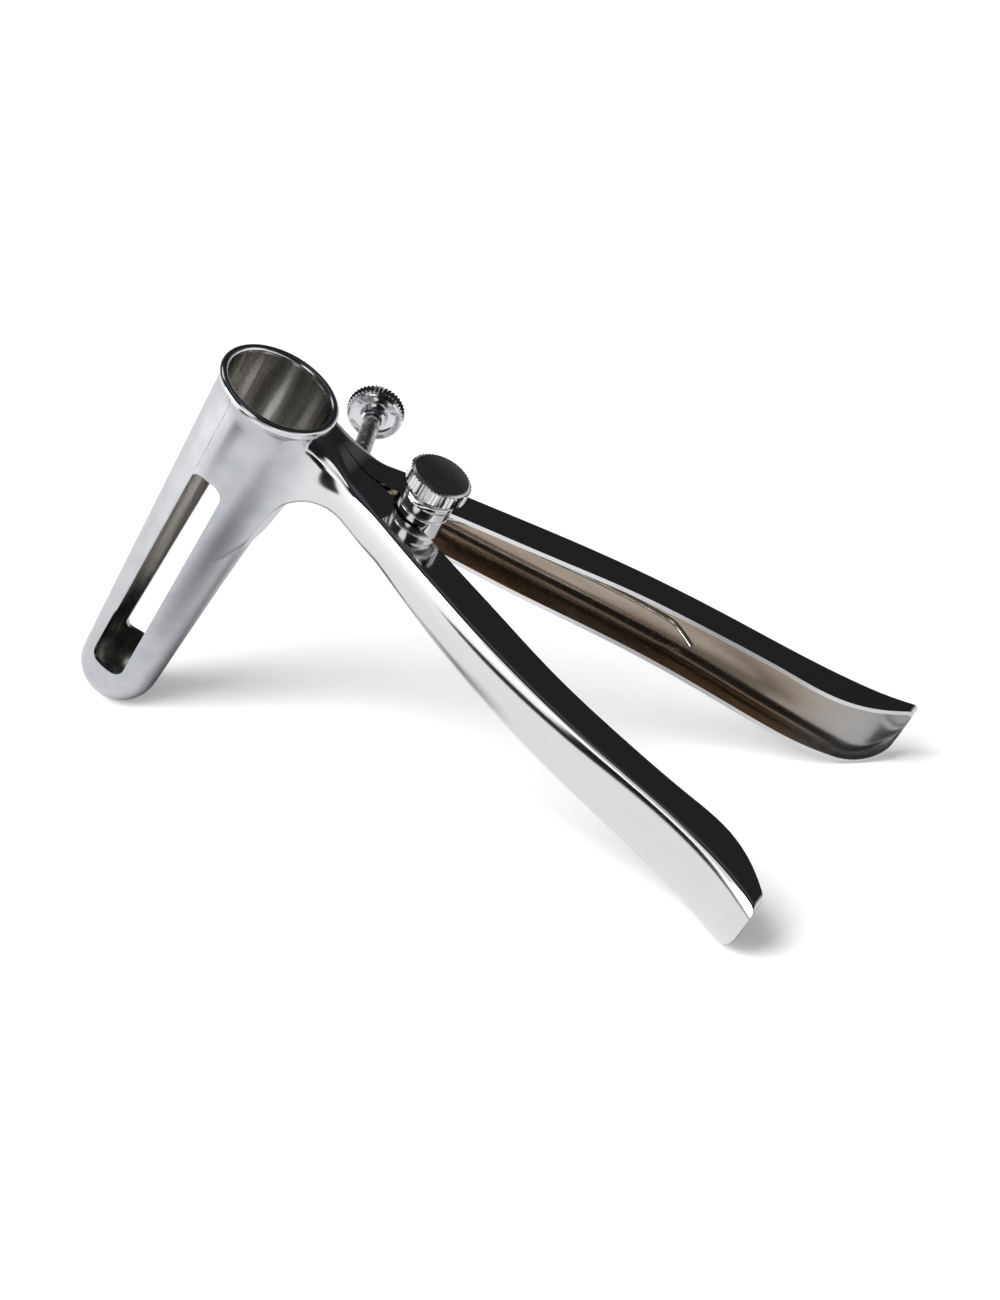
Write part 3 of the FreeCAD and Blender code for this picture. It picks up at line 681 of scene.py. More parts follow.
@dataclass
class Handle:
    """A pressed channel handle with its neck, which flares on to the blade."""

    side: Side
    # The place along X, then the top face's inner and outer edge, the lower lip's inner edge, and both heights.
    stations: tuple = (
        (26.0, 0.1, 7.5, 0.1, -4.3, -14.8),
        (33.0, 1.0, 10.2, 1.0, -4.2, -15.0),
        (41.0, 4.0, 13.6, 4.0, -4.0, -15.3),
        (52.0, 8.4, 18.1, 8.4, -3.7, -16.1),
        (68.0, 14.3, 24.4, 14.3, -3.2, -17.1),
        (88.0, 21.6, 31.0, 21.4, -2.5, -17.6),
        (108.0, 26.6, 35.8, 26.6, -1.8, -17.8),
        (126.0, 29.9, 39.3, 30.2, -1.1, -18.1),
        (139.0, 32.8, 42.8, 34.2, -0.7, -18.4),
        (148.0, 39.4, 46.6, 39.4, -0.6, -18.7),
        (156.0, 49.4, 51.6, 44.8, -0.6, -19.0),
    )
    low_line: tuple = (
        (9.9, -47.0),
        (10.9, -40.0),
        (11.6, -33.0),
        (12.3, -27.2),
        (13.6, -22.7),
        (16.2, -19.1),
        (20.0, -16.4),
        (24.0, -15.1),
        (28.0, -14.85),
    )
    sheet: float = 1.1
    top_round: float = 0.9
    neck_top_round: float = 2.2
    rim_top_round: float = 4.6
    low_round: float = 5.0
    least_round: float = 0.4
    neck_low_round: float = 3.6
    web_radius: float = 24.0
    web_crown: float = 0.3
    neck_end: float = 28.0
    waist: tuple[float, float] = (19.5, 6.7)
    root_deg: float = 50.0
    rim_top: float = -0.9
    root_rise: float = 0.3
    root_sunk: float = 0.45
    neck_touch: float = 0.05
    channel_slope: float = 0.37
    tail_start: float = 141.6
    hinge_x: float = HINGE_X
    notch: float = 6.6
    reach: float = 153.4
    end_top_round: float = 1.4
    end_low_round: float = 6.8
    # How many points a row has on the top face, the top round, the web, the lower round and the lower lip.
    counts: tuple = (7, 7, 22, 10, 6)

    def __post_init__(self) -> None:
        """Prepares the splines of the stations and of the neck's lower line."""
        table = np.array(self.stations)
        self.section = NaturalSpline(table[:, 0], table[:, 1:])
        line = np.array(self.low_line)
        lengths = np.concatenate([[0.0], np.cumsum(np.linalg.norm(np.diff(line, axis=0), axis=1))])
        self.low_length = lengths[-1]
        self.low_curve = NaturalSpline(lengths, line)

    def inner_edge(self, x: float, edge: float) -> float:
        """Gives the inner edge at one place, kept clear of the neighbour and the hinge."""
        value = max(edge, self.neck_touch)
        off = abs(x - self.hinge_x)
        if off < self.notch:
            value = max(value, math.sqrt(self.notch ** 2 - off ** 2))
        return value

    def channel_row(self, x: float, inset: float) -> Points:
        """Gives one section of the channel as points of x, y and z."""
        inner, outer, low_inner, top, low = self.section.at(x)
        full_top, full_low = top, low
        top, low = self.end_limits(x, top, low)
        top, low = top - inset, low + inset
        neck_share = smooth((36.0 - x) / 12.0)
        top_full = self.top_round + (self.neck_top_round - self.top_round) * neck_share
        low_full = self.low_round + (self.neck_low_round - self.low_round) * smooth((41.0 - x) / 8.0)
        top_r, low_r = (max(full - inset, self.least_round) for full in (top_full, low_full))
        radius = self.web_radius - inset
        centre_z = full_top - self.web_crown * (full_top - full_low)
        centre_y = outer + self.top_round / 2 - self.web_radius
        tc, lc = ((centre_y + math.sqrt((radius - r) ** 2 - (z - centre_z) ** 2), z)
                  for r, z in ((top_r, top - top_r), (low_r, low + low_r)))
        web_top, web_low = (math.atan2(z - centre_z, y - centre_y) for y, z in (tc, lc))
        n = self.counts
        first = self.inner_edge(x, min(inner, tc[0] - 0.1))
        last = self.inner_edge(x, min(low_inner, lc[0] - 0.1))
        points = [(x, first + (tc[0] - first) * k / n[0], top) for k in range(n[0])]
        for (y, z), r, start, end, count in (
                (tc, top_r, math.pi / 2, web_top, n[1]), ((centre_y, centre_z), radius, web_top, web_low, n[2]),
                (lc, low_r, web_low, -math.pi / 2, n[3])):
            points += [(x, y + r * math.cos(a), z + r * math.sin(a))
                       for a in np.linspace(start, end, count, endpoint=False)]
        points += [(x, lc[0] + (last - lc[0]) * k / (n[4] - 1), low) for k in range(n[4])]
        return np.array(points)

    def end_limits(self, x: float, top: float, low: float) -> tuple[float, float]:
        """Gives the heights of the top face and the lower lip, which follow the rounded end outline.

        Args:
            x: The place along the handle.
            top: The plain height of the top face.
            low: The plain height of the lower lip.

        Returns:
            The two heights at that place.
        """
        drop = max(x - self.reach + self.end_top_round, 0.0) / self.end_top_round
        rise = max(x - self.reach + self.end_low_round, 0.0) / self.end_low_round
        top -= self.end_top_round * (1.0 - math.sqrt(max(1.0 - drop ** 2, 0.0)))
        low += self.end_low_round * (1.0 - math.sqrt(max(1.0 - rise ** 2, 0.0)))
        return top, low

    def channel_rows(self, inset: float) -> list[Points]:
        """Gives the sections from the neck's end to the handle's end."""
        places = list(np.linspace(self.neck_end, 34.0, 12)) + list(np.linspace(34.4, 48.0, 36))
        places += list(np.linspace(49.0, 141.0, 92))
        tail = self.reach - self.tail_start
        places += [self.tail_start + tail * math.sin(turn) for turn in np.linspace(0.0, math.pi / 2, 30)]
        return [self.channel_row(x, inset) for x in places]

    def tube_at(self, z: float) -> tuple[float, float]:
        """Gives the tube's centre and radius at a height."""
        rise = self.root_rise * apron_share(z)
        taper = (MOUTH_RADIUS - TIP_RADIUS) / (TUBE_LENGTH - TIP_RADIUS)
        return z * math.tan(math.radians(TUBE_LEAN_DEG)), MOUTH_RADIUS + taper * min(z, 0.0) + rise

    def web_y(self, x: float, z: float, inset: float) -> float:
        """Gives the neck web's distance from y = 0: off the tube's side, in to the waist and out to the channel."""
        centre, radius = self.tube_at(z)
        root = math.radians(self.root_deg)
        xa, ya = centre + radius * math.cos(root), radius * math.sin(root)
        sa = -1.0 / math.tan(root)
        xw, yw = self.waist
        ye = self.section.at(self.neck_end)[1] + self.top_round / 2
        xe, se = self.neck_end, self.channel_slope
        h0, h1 = xw - xa, xe - xw
        m = (3 * ((yw - ya) / h0 ** 2 + (ye - yw) / h1 ** 2) - sa / h0 - se / h1) / (2 * (1 / h0 + 1 / h1))
        if x < xw:
            return hermite(xa, ya, sa, xw, yw, m, x) - inset
        return hermite(xw, yw, m, xe, ye, se, x) - inset

    def inner_limit(self, x: float, z: float) -> float:
        """Gives the tube's side at a place inside its outline, or the mirror plane beyond it."""
        centre, radius = self.tube_at(z)
        gap = (radius - self.root_sunk) ** 2 - (x - centre) ** 2
        return math.sqrt(gap) if gap > 0 else self.neck_touch

    def neck_row(self, u: float, inset: float) -> Points:
        """Gives one slice of the neck, from its top edge down to its lower line.

        Args:
            u: 0 on the tube and 1 at the channel.
            inset: How far the skin is set in.

        Returns:
            The slice's points.
        """
        n = self.counts
        root = math.radians(self.root_deg)
        rim_x = MOUTH_RADIUS * math.cos(root)
        xt = rim_x + (self.neck_end - rim_x) * u
        top_z = self.rim_top + (self.stations[0][4] + 0.05 - self.rim_top) * smooth((xt - 14.5) / 13.0) - inset
        xl, zl = self.low_curve.at(self.low_length * u ** 1.15)
        if u < 0.3:
            centre, radius = self.tube_at(zl)
            hold = smooth(u / 0.3)
            xl = (centre + radius * math.cos(root)) * (1 - hold) + xl * hold
        start, end = np.array((xt, top_z)), np.array((xl, zl + inset))
        along = end - start
        length = float(np.linalg.norm(along))
        along /= length
        full = self.rim_top_round + (self.neck_top_round - self.rim_top_round) * smooth((xt - 15.0) / 10.0)
        top_r, low_r = (
            min(max(r - inset, self.least_round), 0.9 * max(self.web_y(x, z, inset) - self.inner_limit(x, z), 0.02))
            for r, (x, z) in ((full, start), (self.neck_low_round, end)))
        points = []

        def put(distance: float, drop: float) -> None:
            x, z = start + along * distance
            points.append((x, self.web_y(x, z, inset) - drop, z))

        edge = self.web_y(xt, top_z, inset) - top_r
        limit = min(self.inner_limit(xt, top_z), edge - 0.01)
        points += [(xt, limit + (edge - limit) * k / n[0], top_z) for k in range(n[0])]
        for a in np.linspace(0, math.pi / 2, n[1], endpoint=False):
            put(top_r * (1 - math.cos(a)), top_r * (1 - math.sin(a)))
        for k in range(n[2]):
            put(top_r + (length - top_r - low_r) * k / n[2], 0.0)
        for a in np.linspace(0, math.pi / 2, n[3], endpoint=False):
            put(length - low_r * (1 - math.sin(a)), low_r * (1 - math.cos(a)))
        edge = self.web_y(end[0], end[1], inset) - low_r
        limit = min(self.inner_limit(end[0], end[1]), edge - 0.01)
        points += [(end[0], edge + (limit - edge) * k / (n[4] - 1), end[1]) for k in range(n[4])]
        return np.array(points)

    def skin(self, inset: float) -> Points:
        """Gives all rows of one skin, from the tube to the handle's end."""
        channel = self.channel_rows(inset)
        steps = np.linspace(0.0, 1.0, 56)
        neck = [self.neck_row(u, inset * (0.3 + 0.7 * smooth(u / 0.4))) for u in steps]
        rest = channel[0] - neck[-1]
        neck = [row + rest * smooth(u) ** 2 for row, u in zip(neck, steps)]
        return np.array(neck[:-1] + channel)

    def build(self, finishes: Finishes) -> bpy.types.Object:
        """Builds the handle with its neck.

        Args:
            finishes: The materials.

        Returns:
            The handle's object.
        """
        shell = Shell.empty()
        outer = shell.add_grid(self.skin(0.0), 0)
        inner = shell.add_grid(self.skin(self.sheet), 1, flip=True)
        for line in (np.s_[:, 0], np.s_[:, -1], np.s_[0, :], np.s_[-1, :]):
            shell.add_strip(outer[line], inner[line])
        front = self.side is Side.FRONT
        piece = shell.piece("front_handle_channel" if front else "rear_handle_channel",
                            [finishes.get(HANDLE_PLATE), finishes.get(CHANNEL_INSIDE)],
                            sharp_deg=50.0, bevel_mm=0.3, mirror=front)
        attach(piece, "front" if front else "rear")
        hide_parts("front_handle" if front else "rear_handle")
        return piece


def hermite(x0: float, y0: float, s0: float, x1: float, y1: float, s1: float, x: float) -> float:
    """Gives the cubic between two points with given slopes."""
    h = x1 - x0
    t = (x - x0) / h
    if t < 0:
        return y0 + s0 * (x - x0)
    return ((2 * t ** 3 - 3 * t ** 2 + 1) * y0 + (t ** 3 - 2 * t ** 2 + t) * h * s0
            + (3 * t ** 2 - 2 * t ** 3) * y1 + (t ** 3 - t ** 2) * h * s1)


# Patterns that repeat


def new_tree(name: str, inputs: Sequence[tuple[str, str, float]]) -> bpy.types.NodeTree:
    """Starts a geometry tree with named inputs.

    Args:
        name: The tree's name.
        inputs: Name, socket type and first value of each input.

    Returns:
        The new tree.
    """
    tree = bpy.data.node_groups.new(name, "GeometryNodeTree")
    tree.interface.new_socket(name="Geometry", in_out="OUTPUT", socket_type="NodeSocketGeometry")
    for label, kind, value in inputs:
        socket = tree.interface.new_socket(name=label, in_out="INPUT", socket_type=kind)
        if kind != "NodeSocketMaterial":
            socket.default_value = value
    return tree


def finish_tree(tree: bpy.types.NodeTree, shape: bpy.types.NodeSocket,
                finish: bpy.types.NodeSocket) -> bpy.types.NodeTree:
    """Ends a geometry tree: the shape is realized and gets its material.

    Args:
        tree: The tree to end.
        shape: The shape so far.
        finish: The socket that gives the material.

    Returns:
        The same tree.
    """
    real = add_node(tree, "GeometryNodeRealizeInstances", inputs={"Geometry": shape})
    dressed = add_node(tree, "GeometryNodeSetMaterial", inputs={
        "Geometry": real.outputs["Geometry"], "Material": finish})
    add_node(tree, "NodeGroupOutput", inputs={"Geometry": dressed.outputs["Geometry"]})
    return tree


def pattern_piece(name: str, tree: bpy.types.NodeTree, values: dict, place: Matrix,
                  material: bpy.types.Material) -> bpy.types.Object:
    """Runs a geometry tree and keeps its result as a plain mesh.

    Args:
        name: The piece's name.
        tree: The geometry tree.
        values: Input name to value.
        place: Where the pattern goes in the instrument's frame.
        material: The material it gets.

    Returns:
        The new object, standing in the row frame.
    """
    piece = new_object(name, bpy.data.meshes.new(name))
    modifier = piece.modifiers.new("pattern", "NODES")
    modifier.node_group = tree
    for item in tree.interface.items_tree:
        if item.in_out == "INPUT" and item.name in values:
            modifier[item.identifier] = values[item.name]
        if item.in_out == "INPUT" and item.name == "Finish":
            modifier[item.identifier] = material
    settle(piece)
    piece.data.transform(stand_matrix() @ place)
    return piece


def knurl_tree() -> bpy.types.NodeTree:
    """Builds the tree of straight knurling: one ridge for each tooth round a circle."""
    tree = new_tree("straight_knurl", (
        ("Teeth", "NodeSocketInt", 48), ("Radius", "NodeSocketFloat", 7.0), ("Height", "NodeSocketFloat", 3.0),
        ("Ridge", "NodeSocketFloat", 0.5), ("Finish", "NodeSocketMaterial", 0)))
    given = add_node(tree, "NodeGroupInput").outputs
    ring = add_node(tree, "GeometryNodeMeshCircle", {"fill_type": "NONE"},
                    {"Vertices": given["Teeth"], "Radius": given["Radius"]})
    size = add_node(tree, "ShaderNodeCombineXYZ", inputs={
        "X": given["Ridge"], "Y": given["Ridge"], "Z": given["Height"]})
    ridge = add_node(tree, "GeometryNodeMeshCube", inputs={"Size": size.outputs["Vector"]})
    turned = add_node(tree, "GeometryNodeTransform", inputs={
        "Geometry": ridge.outputs["Mesh"], "Rotation": (0.0, 0.0, math.pi / 4)})
    outward = add_node(tree, "GeometryNodeInputPosition")
    facing = add_node(tree, "FunctionNodeAlignRotationToVector", {"axis": "X"}, {
        "Vector": outward.outputs["Position"]})
    teeth = add_node(tree, "GeometryNodeInstanceOnPoints", inputs={
        "Points": ring.outputs["Mesh"], "Instance": turned.outputs["Geometry"], "Rotation": facing.outputs["Rotation"]})
    return finish_tree(tree, teeth.outputs["Instances"], given["Finish"])


def coil_tree() -> bpy.types.NodeTree:
    """Builds the tree of a wire or thread ridge that winds up a cylinder."""
    tree = new_tree("wound_line", (
        ("Steps", "NodeSocketInt", 32), ("Turns", "NodeSocketFloat", 3.0), ("Radius", "NodeSocketFloat", 4.0),
        ("Height", "NodeSocketFloat", 3.0), ("Wire", "NodeSocketFloat", 0.6), ("Sides", "NodeSocketInt", 12),
        ("Finish", "NodeSocketMaterial", 0)))
    given = add_node(tree, "NodeGroupInput").outputs
    spiral = add_node(tree, "GeometryNodeCurveSpiral", inputs={
        "Resolution": given["Steps"], "Rotations": given["Turns"], "Start Radius": given["Radius"],
        "End Radius": given["Radius"], "Height": given["Height"]})
    section = add_node(tree, "GeometryNodeCurvePrimitiveCircle", inputs={
        "Resolution": given["Sides"], "Radius": given["Wire"]})
    wire = add_node(tree, "GeometryNodeCurveToMesh", inputs={
        "Curve": spiral.outputs["Curve"], "Profile Curve": section.outputs["Curve"], "Fill Caps": True})
    soft = add_node(tree, "GeometryNodeSetShadeSmooth", inputs={"Geometry": wire.outputs["Mesh"]})
    return finish_tree(tree, soft.outputs["Geometry"], given["Finish"])


# Hinge


@dataclass
class HingeStack:
    """The hinge screw with its knurled head, which holds the knuckles."""

    x: float = HINGE_X
    head_base: float = 3.4
    head_height: float = 4.1
    head_radius: float = 7.3
    collar_radius: float = 4.4
    collar_base: float = 2.7
    shank_radius: float = 2.4
    shank_low: float = -17.1
    teeth: int = 48
    tooth: float = 0.43
    chamfer: float = 0.35

    def profile(self) -> list[tuple[float, float]]:
        """Gives the screw's turned outline, from its lower end up to the head's middle."""
        core = self.head_radius - self.tooth
        top = self.head_base + self.head_height
        c = self.chamfer
        return [(0.01, self.shank_low), (self.shank_radius - c, self.shank_low),
                (self.shank_radius, self.shank_low + c), (self.shank_radius, self.collar_base),
                (self.collar_radius - 0.15, self.collar_base), (self.collar_radius, self.collar_base + 0.15),
                (self.collar_radius, self.head_base - 0.1), (self.collar_radius + 0.1, self.head_base),
                (core - c, self.head_base), (core, self.head_base + c), (core, top - c - 0.15),
                (core - 0.12, top - c), (core - c - 0.1, top - 0.06), (core - c - 0.3, top), (0.01, top)]

    def build(self, finishes: Finishes, knurl: bpy.types.NodeTree) -> bpy.types.Object:
        """Builds the hinge screw.

        Args:
            finishes: The materials.
            knurl: The knurling tree.

        Returns:
            The screw's object.
        """
        shell = Shell.empty()
        shell.add_grid(turned_grid(self.profile(), 96) + np.array((self.x, 0.0, 0.0)), close_columns=True)
        body = shell.piece("hinge_screw_body", [finishes.get(TURNED_PLATE)], sharp_deg=30.0)
        grip = self.head_height - 2 * self.chamfer - 0.3
        teeth = pattern_piece("hinge_screw_teeth", knurl, {
            "Teeth": self.teeth, "Radius": self.head_radius - self.tooth, "Height": grip,
            "Ridge": self.tooth * math.sqrt(2.0)},
            Matrix.Translation((self.x, 0.0, self.head_base + self.chamfer + 0.05 + grip / 2)),
            finishes.get(MIRROR_PLATE))
        piece = joined("hinge_screw_turned", [body, teeth])
        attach(piece, "pivot_screw")
        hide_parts("hinge_screw")
        return piece


@dataclass(frozen=True)
class Ring:
    """One ring of the hinge stack, with the bar that ties it to its handle."""

    node: str
    side: Side
    low: float
    top: float
    radius: float = 5.9
    bore: float = 2.45
    arm_out: float = 0.0
    arm_low: float = 0.0
    arm_top: float = 0.0
    arm_width: float = 7.0
    edge: float = 0.35
    groove: float = 0.0

    def profile(self) -> list[tuple[float, float]]:
        """Gives the ring's closed outline."""
        e, r = self.edge, self.radius
        points = [(self.bore, self.low), (r - e, self.low)]
        points += [(r - e + e * math.sin(a), self.low + e - e * math.cos(a)) for a in np.radians((30, 60, 90))]
        if self.groove:
            mid = self.low + self.groove
            points += [(r, mid - 0.3), (r - 0.32, mid - 0.1), (r - 0.32, mid + 0.1), (r, mid + 0.3)]
        points += [(r - e + e * math.cos(a), self.top - e + e * math.sin(a)) for a in np.radians((0, 30, 60, 90))]
        return points + [(self.bore, self.top), (self.bore, self.low)]

    def build(self, finishes: Finishes, x: float) -> bpy.types.Object:
        """Builds the ring and its arm.

        Args:
            finishes: The materials.
            x: The hinge's place along the instrument.

        Returns:
            The ring's object.
        """
        shell = Shell.empty()
        shell.add_grid(turned_grid(self.profile(), 72) + np.array((x, 0.0, 0.0)), close_columns=True)
        parts = [shell.piece(self.node + "_ring", [finishes.get(MIRROR_PLATE)], sharp_deg=32.0)]
        if self.arm_out:
            half, out = self.arm_width / 2, self.side.value * self.arm_out
            start = self.side.value * (self.bore + 1.0)
            corners = [[(x + sx * half, y, z) for sx, z in ((-1, self.arm_low), (1, self.arm_low),
                                                            (1, self.arm_top), (-1, self.arm_top))]
                       for y in (start, out)]
            bar = Shell.empty()
            grid = bar.add_grid(np.array(corners), close_columns=True)
            bar.add_face(grid[0])
            bar.add_face(grid[1])
            parts.append(bar.piece(self.node + "_arm", [finishes.get(MIRROR_PLATE)], sharp_deg=32.0, bevel_mm=0.5))
        piece = joined(self.node + "_turned", parts)
        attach(piece, "front" if self.side is Side.FRONT else "rear")
        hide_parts(self.node)
        return piece


RINGS = (
    Ring("rear_upper_knuckle", Side.REAR, -1.8, 2.1, arm_out=11.6, arm_low=-1.7, arm_top=1.1, groove=2.6),
    Ring("front_upper_knuckle", Side.FRONT, -7.0, -1.9, arm_out=11.6, arm_low=-7.0, arm_top=-5.8),
    Ring("hinge_washer", Side.REAR, 2.1, 2.7, radius=5.3, edge=0.2),
    Ring("front_lower_knuckle", Side.FRONT, -16.5, -14.1, arm_out=7.6, arm_low=-16.5, arm_top=-15.65),
)


@dataclass
class WireSpring:
    """The coil of the wire spring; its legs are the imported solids."""

    x: float = HINGE_X
    radius: float = 4.1
    wire: float = 0.6
    low: float = -11.55
    top: float = -7.85
    turns: float = 2.2566
    start_deg: float = 226.18

    def build(self, finishes: Finishes, coil: bpy.types.NodeTree) -> bpy.types.Object:
        """Builds the coil.

        Args:
            finishes: The materials.
            coil: The winding tree.

        Returns:
            The coil's object.
        """
        flip = Matrix.Diagonal((1.0, -1.0, 1.0, 1.0))
        place = Matrix.Translation((self.x, 0.0, self.low)) @ Matrix.Rotation(math.radians(self.start_deg), 4, "Z")
        piece = pattern_piece("spring_coil_wound", coil, {
            "Steps": 40, "Turns": self.turns, "Radius": self.radius, "Height": self.top - self.low,
            "Wire": self.wire, "Sides": 16}, place @ flip, finishes.get(SPRING_WIRE))
        outwards(piece)
        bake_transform(piece)
        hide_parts("spring_coil")
        return piece


def outwards(piece: bpy.types.Object) -> None:
    """Makes a closed piece's faces point outwards."""
    work = bmesh.new()
    work.from_mesh(piece.data)
    bmesh.ops.recalc_face_normals(work, faces=work.faces)
    work.to_mesh(piece.data)
    work.free()


@dataclass
class SpreadingScrew:
    """The threaded stem and its knurled knob."""

    x: float = 23.9
    z: float = -8.6
    turn_deg: float = 17.0
    stem_radius: float = 2.1
    stem_start: float = 0.4
    stem_end: float = 28.8
    to_knob: float = 26.9
    knob_radius: float = 6.6
    knob_thickness: float = 3.9
    hub_radius: float = 3.1
    hub_height: float = 1.9
    dish: float = 0.9
    teeth: int = 44
    tooth: float = 0.42
    pitch: float = 0.794
    thread_depth: float = 0.13

    def place(self) -> Matrix:
        """Gives the move that lays an upright piece along the screw's axis."""
        out = Vector((-math.sin(math.radians(self.turn_deg)), math.cos(math.radians(self.turn_deg)), 0.0))
        turn = Vector((0.0, 0.0, 1.0)).rotation_difference(out).to_matrix().to_4x4()
        return Matrix.Translation((self.x, 0.0, self.z)) @ turn

    def laid(self, grid: Points) -> Points:
        """Lays a grid drawn upright along the screw's axis."""
        move = np.array(self.place())
        return grid @ move[:3, :3].T + move[:3, 3]

    def build_stem(self, finishes: Finishes, coil: bpy.types.NodeTree) -> bpy.types.Object:
        """Builds the stem: a core with its thread ridge wound on it."""
        core = self.stem_radius - self.thread_depth
        start, end = self.stem_start, self.stem_end
        profile = [(0.01, start), (core * 0.6, start), (core, start + 0.6), (core, end), (0.01, end)]
        shell = Shell.empty()
        shell.add_grid(self.laid(turned_grid(profile, 40)), close_columns=True)
        body = shell.piece("stem_core", [finishes.get(TURNED_PLATE)], sharp_deg=30.0)
        length = self.to_knob - self.hub_height - start - 0.9
        ridge = pattern_piece("stem_thread", coil, {
            "Steps": 28, "Turns": length / self.pitch, "Radius": core, "Height": length,
            "Wire": self.thread_depth, "Sides": 4}, self.place() @ Matrix.Translation((0.0, 0.0, start + 0.8)),
            finishes.get(TURNED_PLATE))
        outwards(ridge)
        ridge.data.polygons.foreach_set("use_smooth", [False] * len(ridge.data.polygons))
        piece = joined("spreading_stem_threaded", [body, ridge])
        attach(piece, "spreading_stem")
        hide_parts("set_screw_stem")
        return piece

    def build_knob(self, finishes: Finishes, knurl: bpy.types.NodeTree) -> bpy.types.Object:
        """Builds the knob: knurled rim, dished underside and hub."""
        core = self.knob_radius - self.tooth
        base, top = self.to_knob, self.to_knob + self.knob_thickness
        bore = self.stem_radius + 0.05
        inner_top = base + self.knob_thickness - self.hub_height
        profile = [(bore, base - self.hub_height), (self.hub_radius - 0.5, base - self.hub_height),
                   (self.hub_radius - 0.25, base - self.hub_height + 0.25), (self.hub_radius - 0.05, base + 0.2),
                   (self.hub_radius + 0.1, base + self.dish - 0.1), (self.hub_radius + 0.5, base + self.dish),
                   (core - 1.0, base + 0.25), (core - 0.5, base), (core - 0.1, base + 0.25), (core, base + 0.7),
                   (core, top - 0.5), (core - 0.15, top - 0.2), (core - 0.6, top), (0.01, top), (0.01, inner_top),
                   (bore, inner_top), (bore, base - self.hub_height)]
        shell = Shell.empty()
        shell.add_grid(self.laid(turned_grid(profile, 88)), close_columns=True)
        body = shell.piece("knob_body", [finishes.get(MIRROR_PLATE)], sharp_deg=40.0)
        grip = self.knob_thickness - 1.5
        teeth = pattern_piece("knob_teeth", knurl, {
            "Teeth": self.teeth, "Radius": core, "Height": grip, "Ridge": self.tooth * math.sqrt(2.0)},
            self.place() @ Matrix.Translation((0.0, 0.0, base + 0.85 + grip / 2)), finishes.get(MIRROR_PLATE))
        piece = joined("spreading_knob_turned", [body, teeth])
        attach(piece, "spreading_knob")
        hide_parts("set_screw_knob")
        return piece


# Studio


@dataclass(frozen=True)
class Panel:
    """A light or dark panel in the room: its direction, its spread, its level and the height it stops at."""

    towards: tuple[float, float, float]
    inner_deg: float
    outer_deg: float
    level: float
    ceiling: float = 1.0


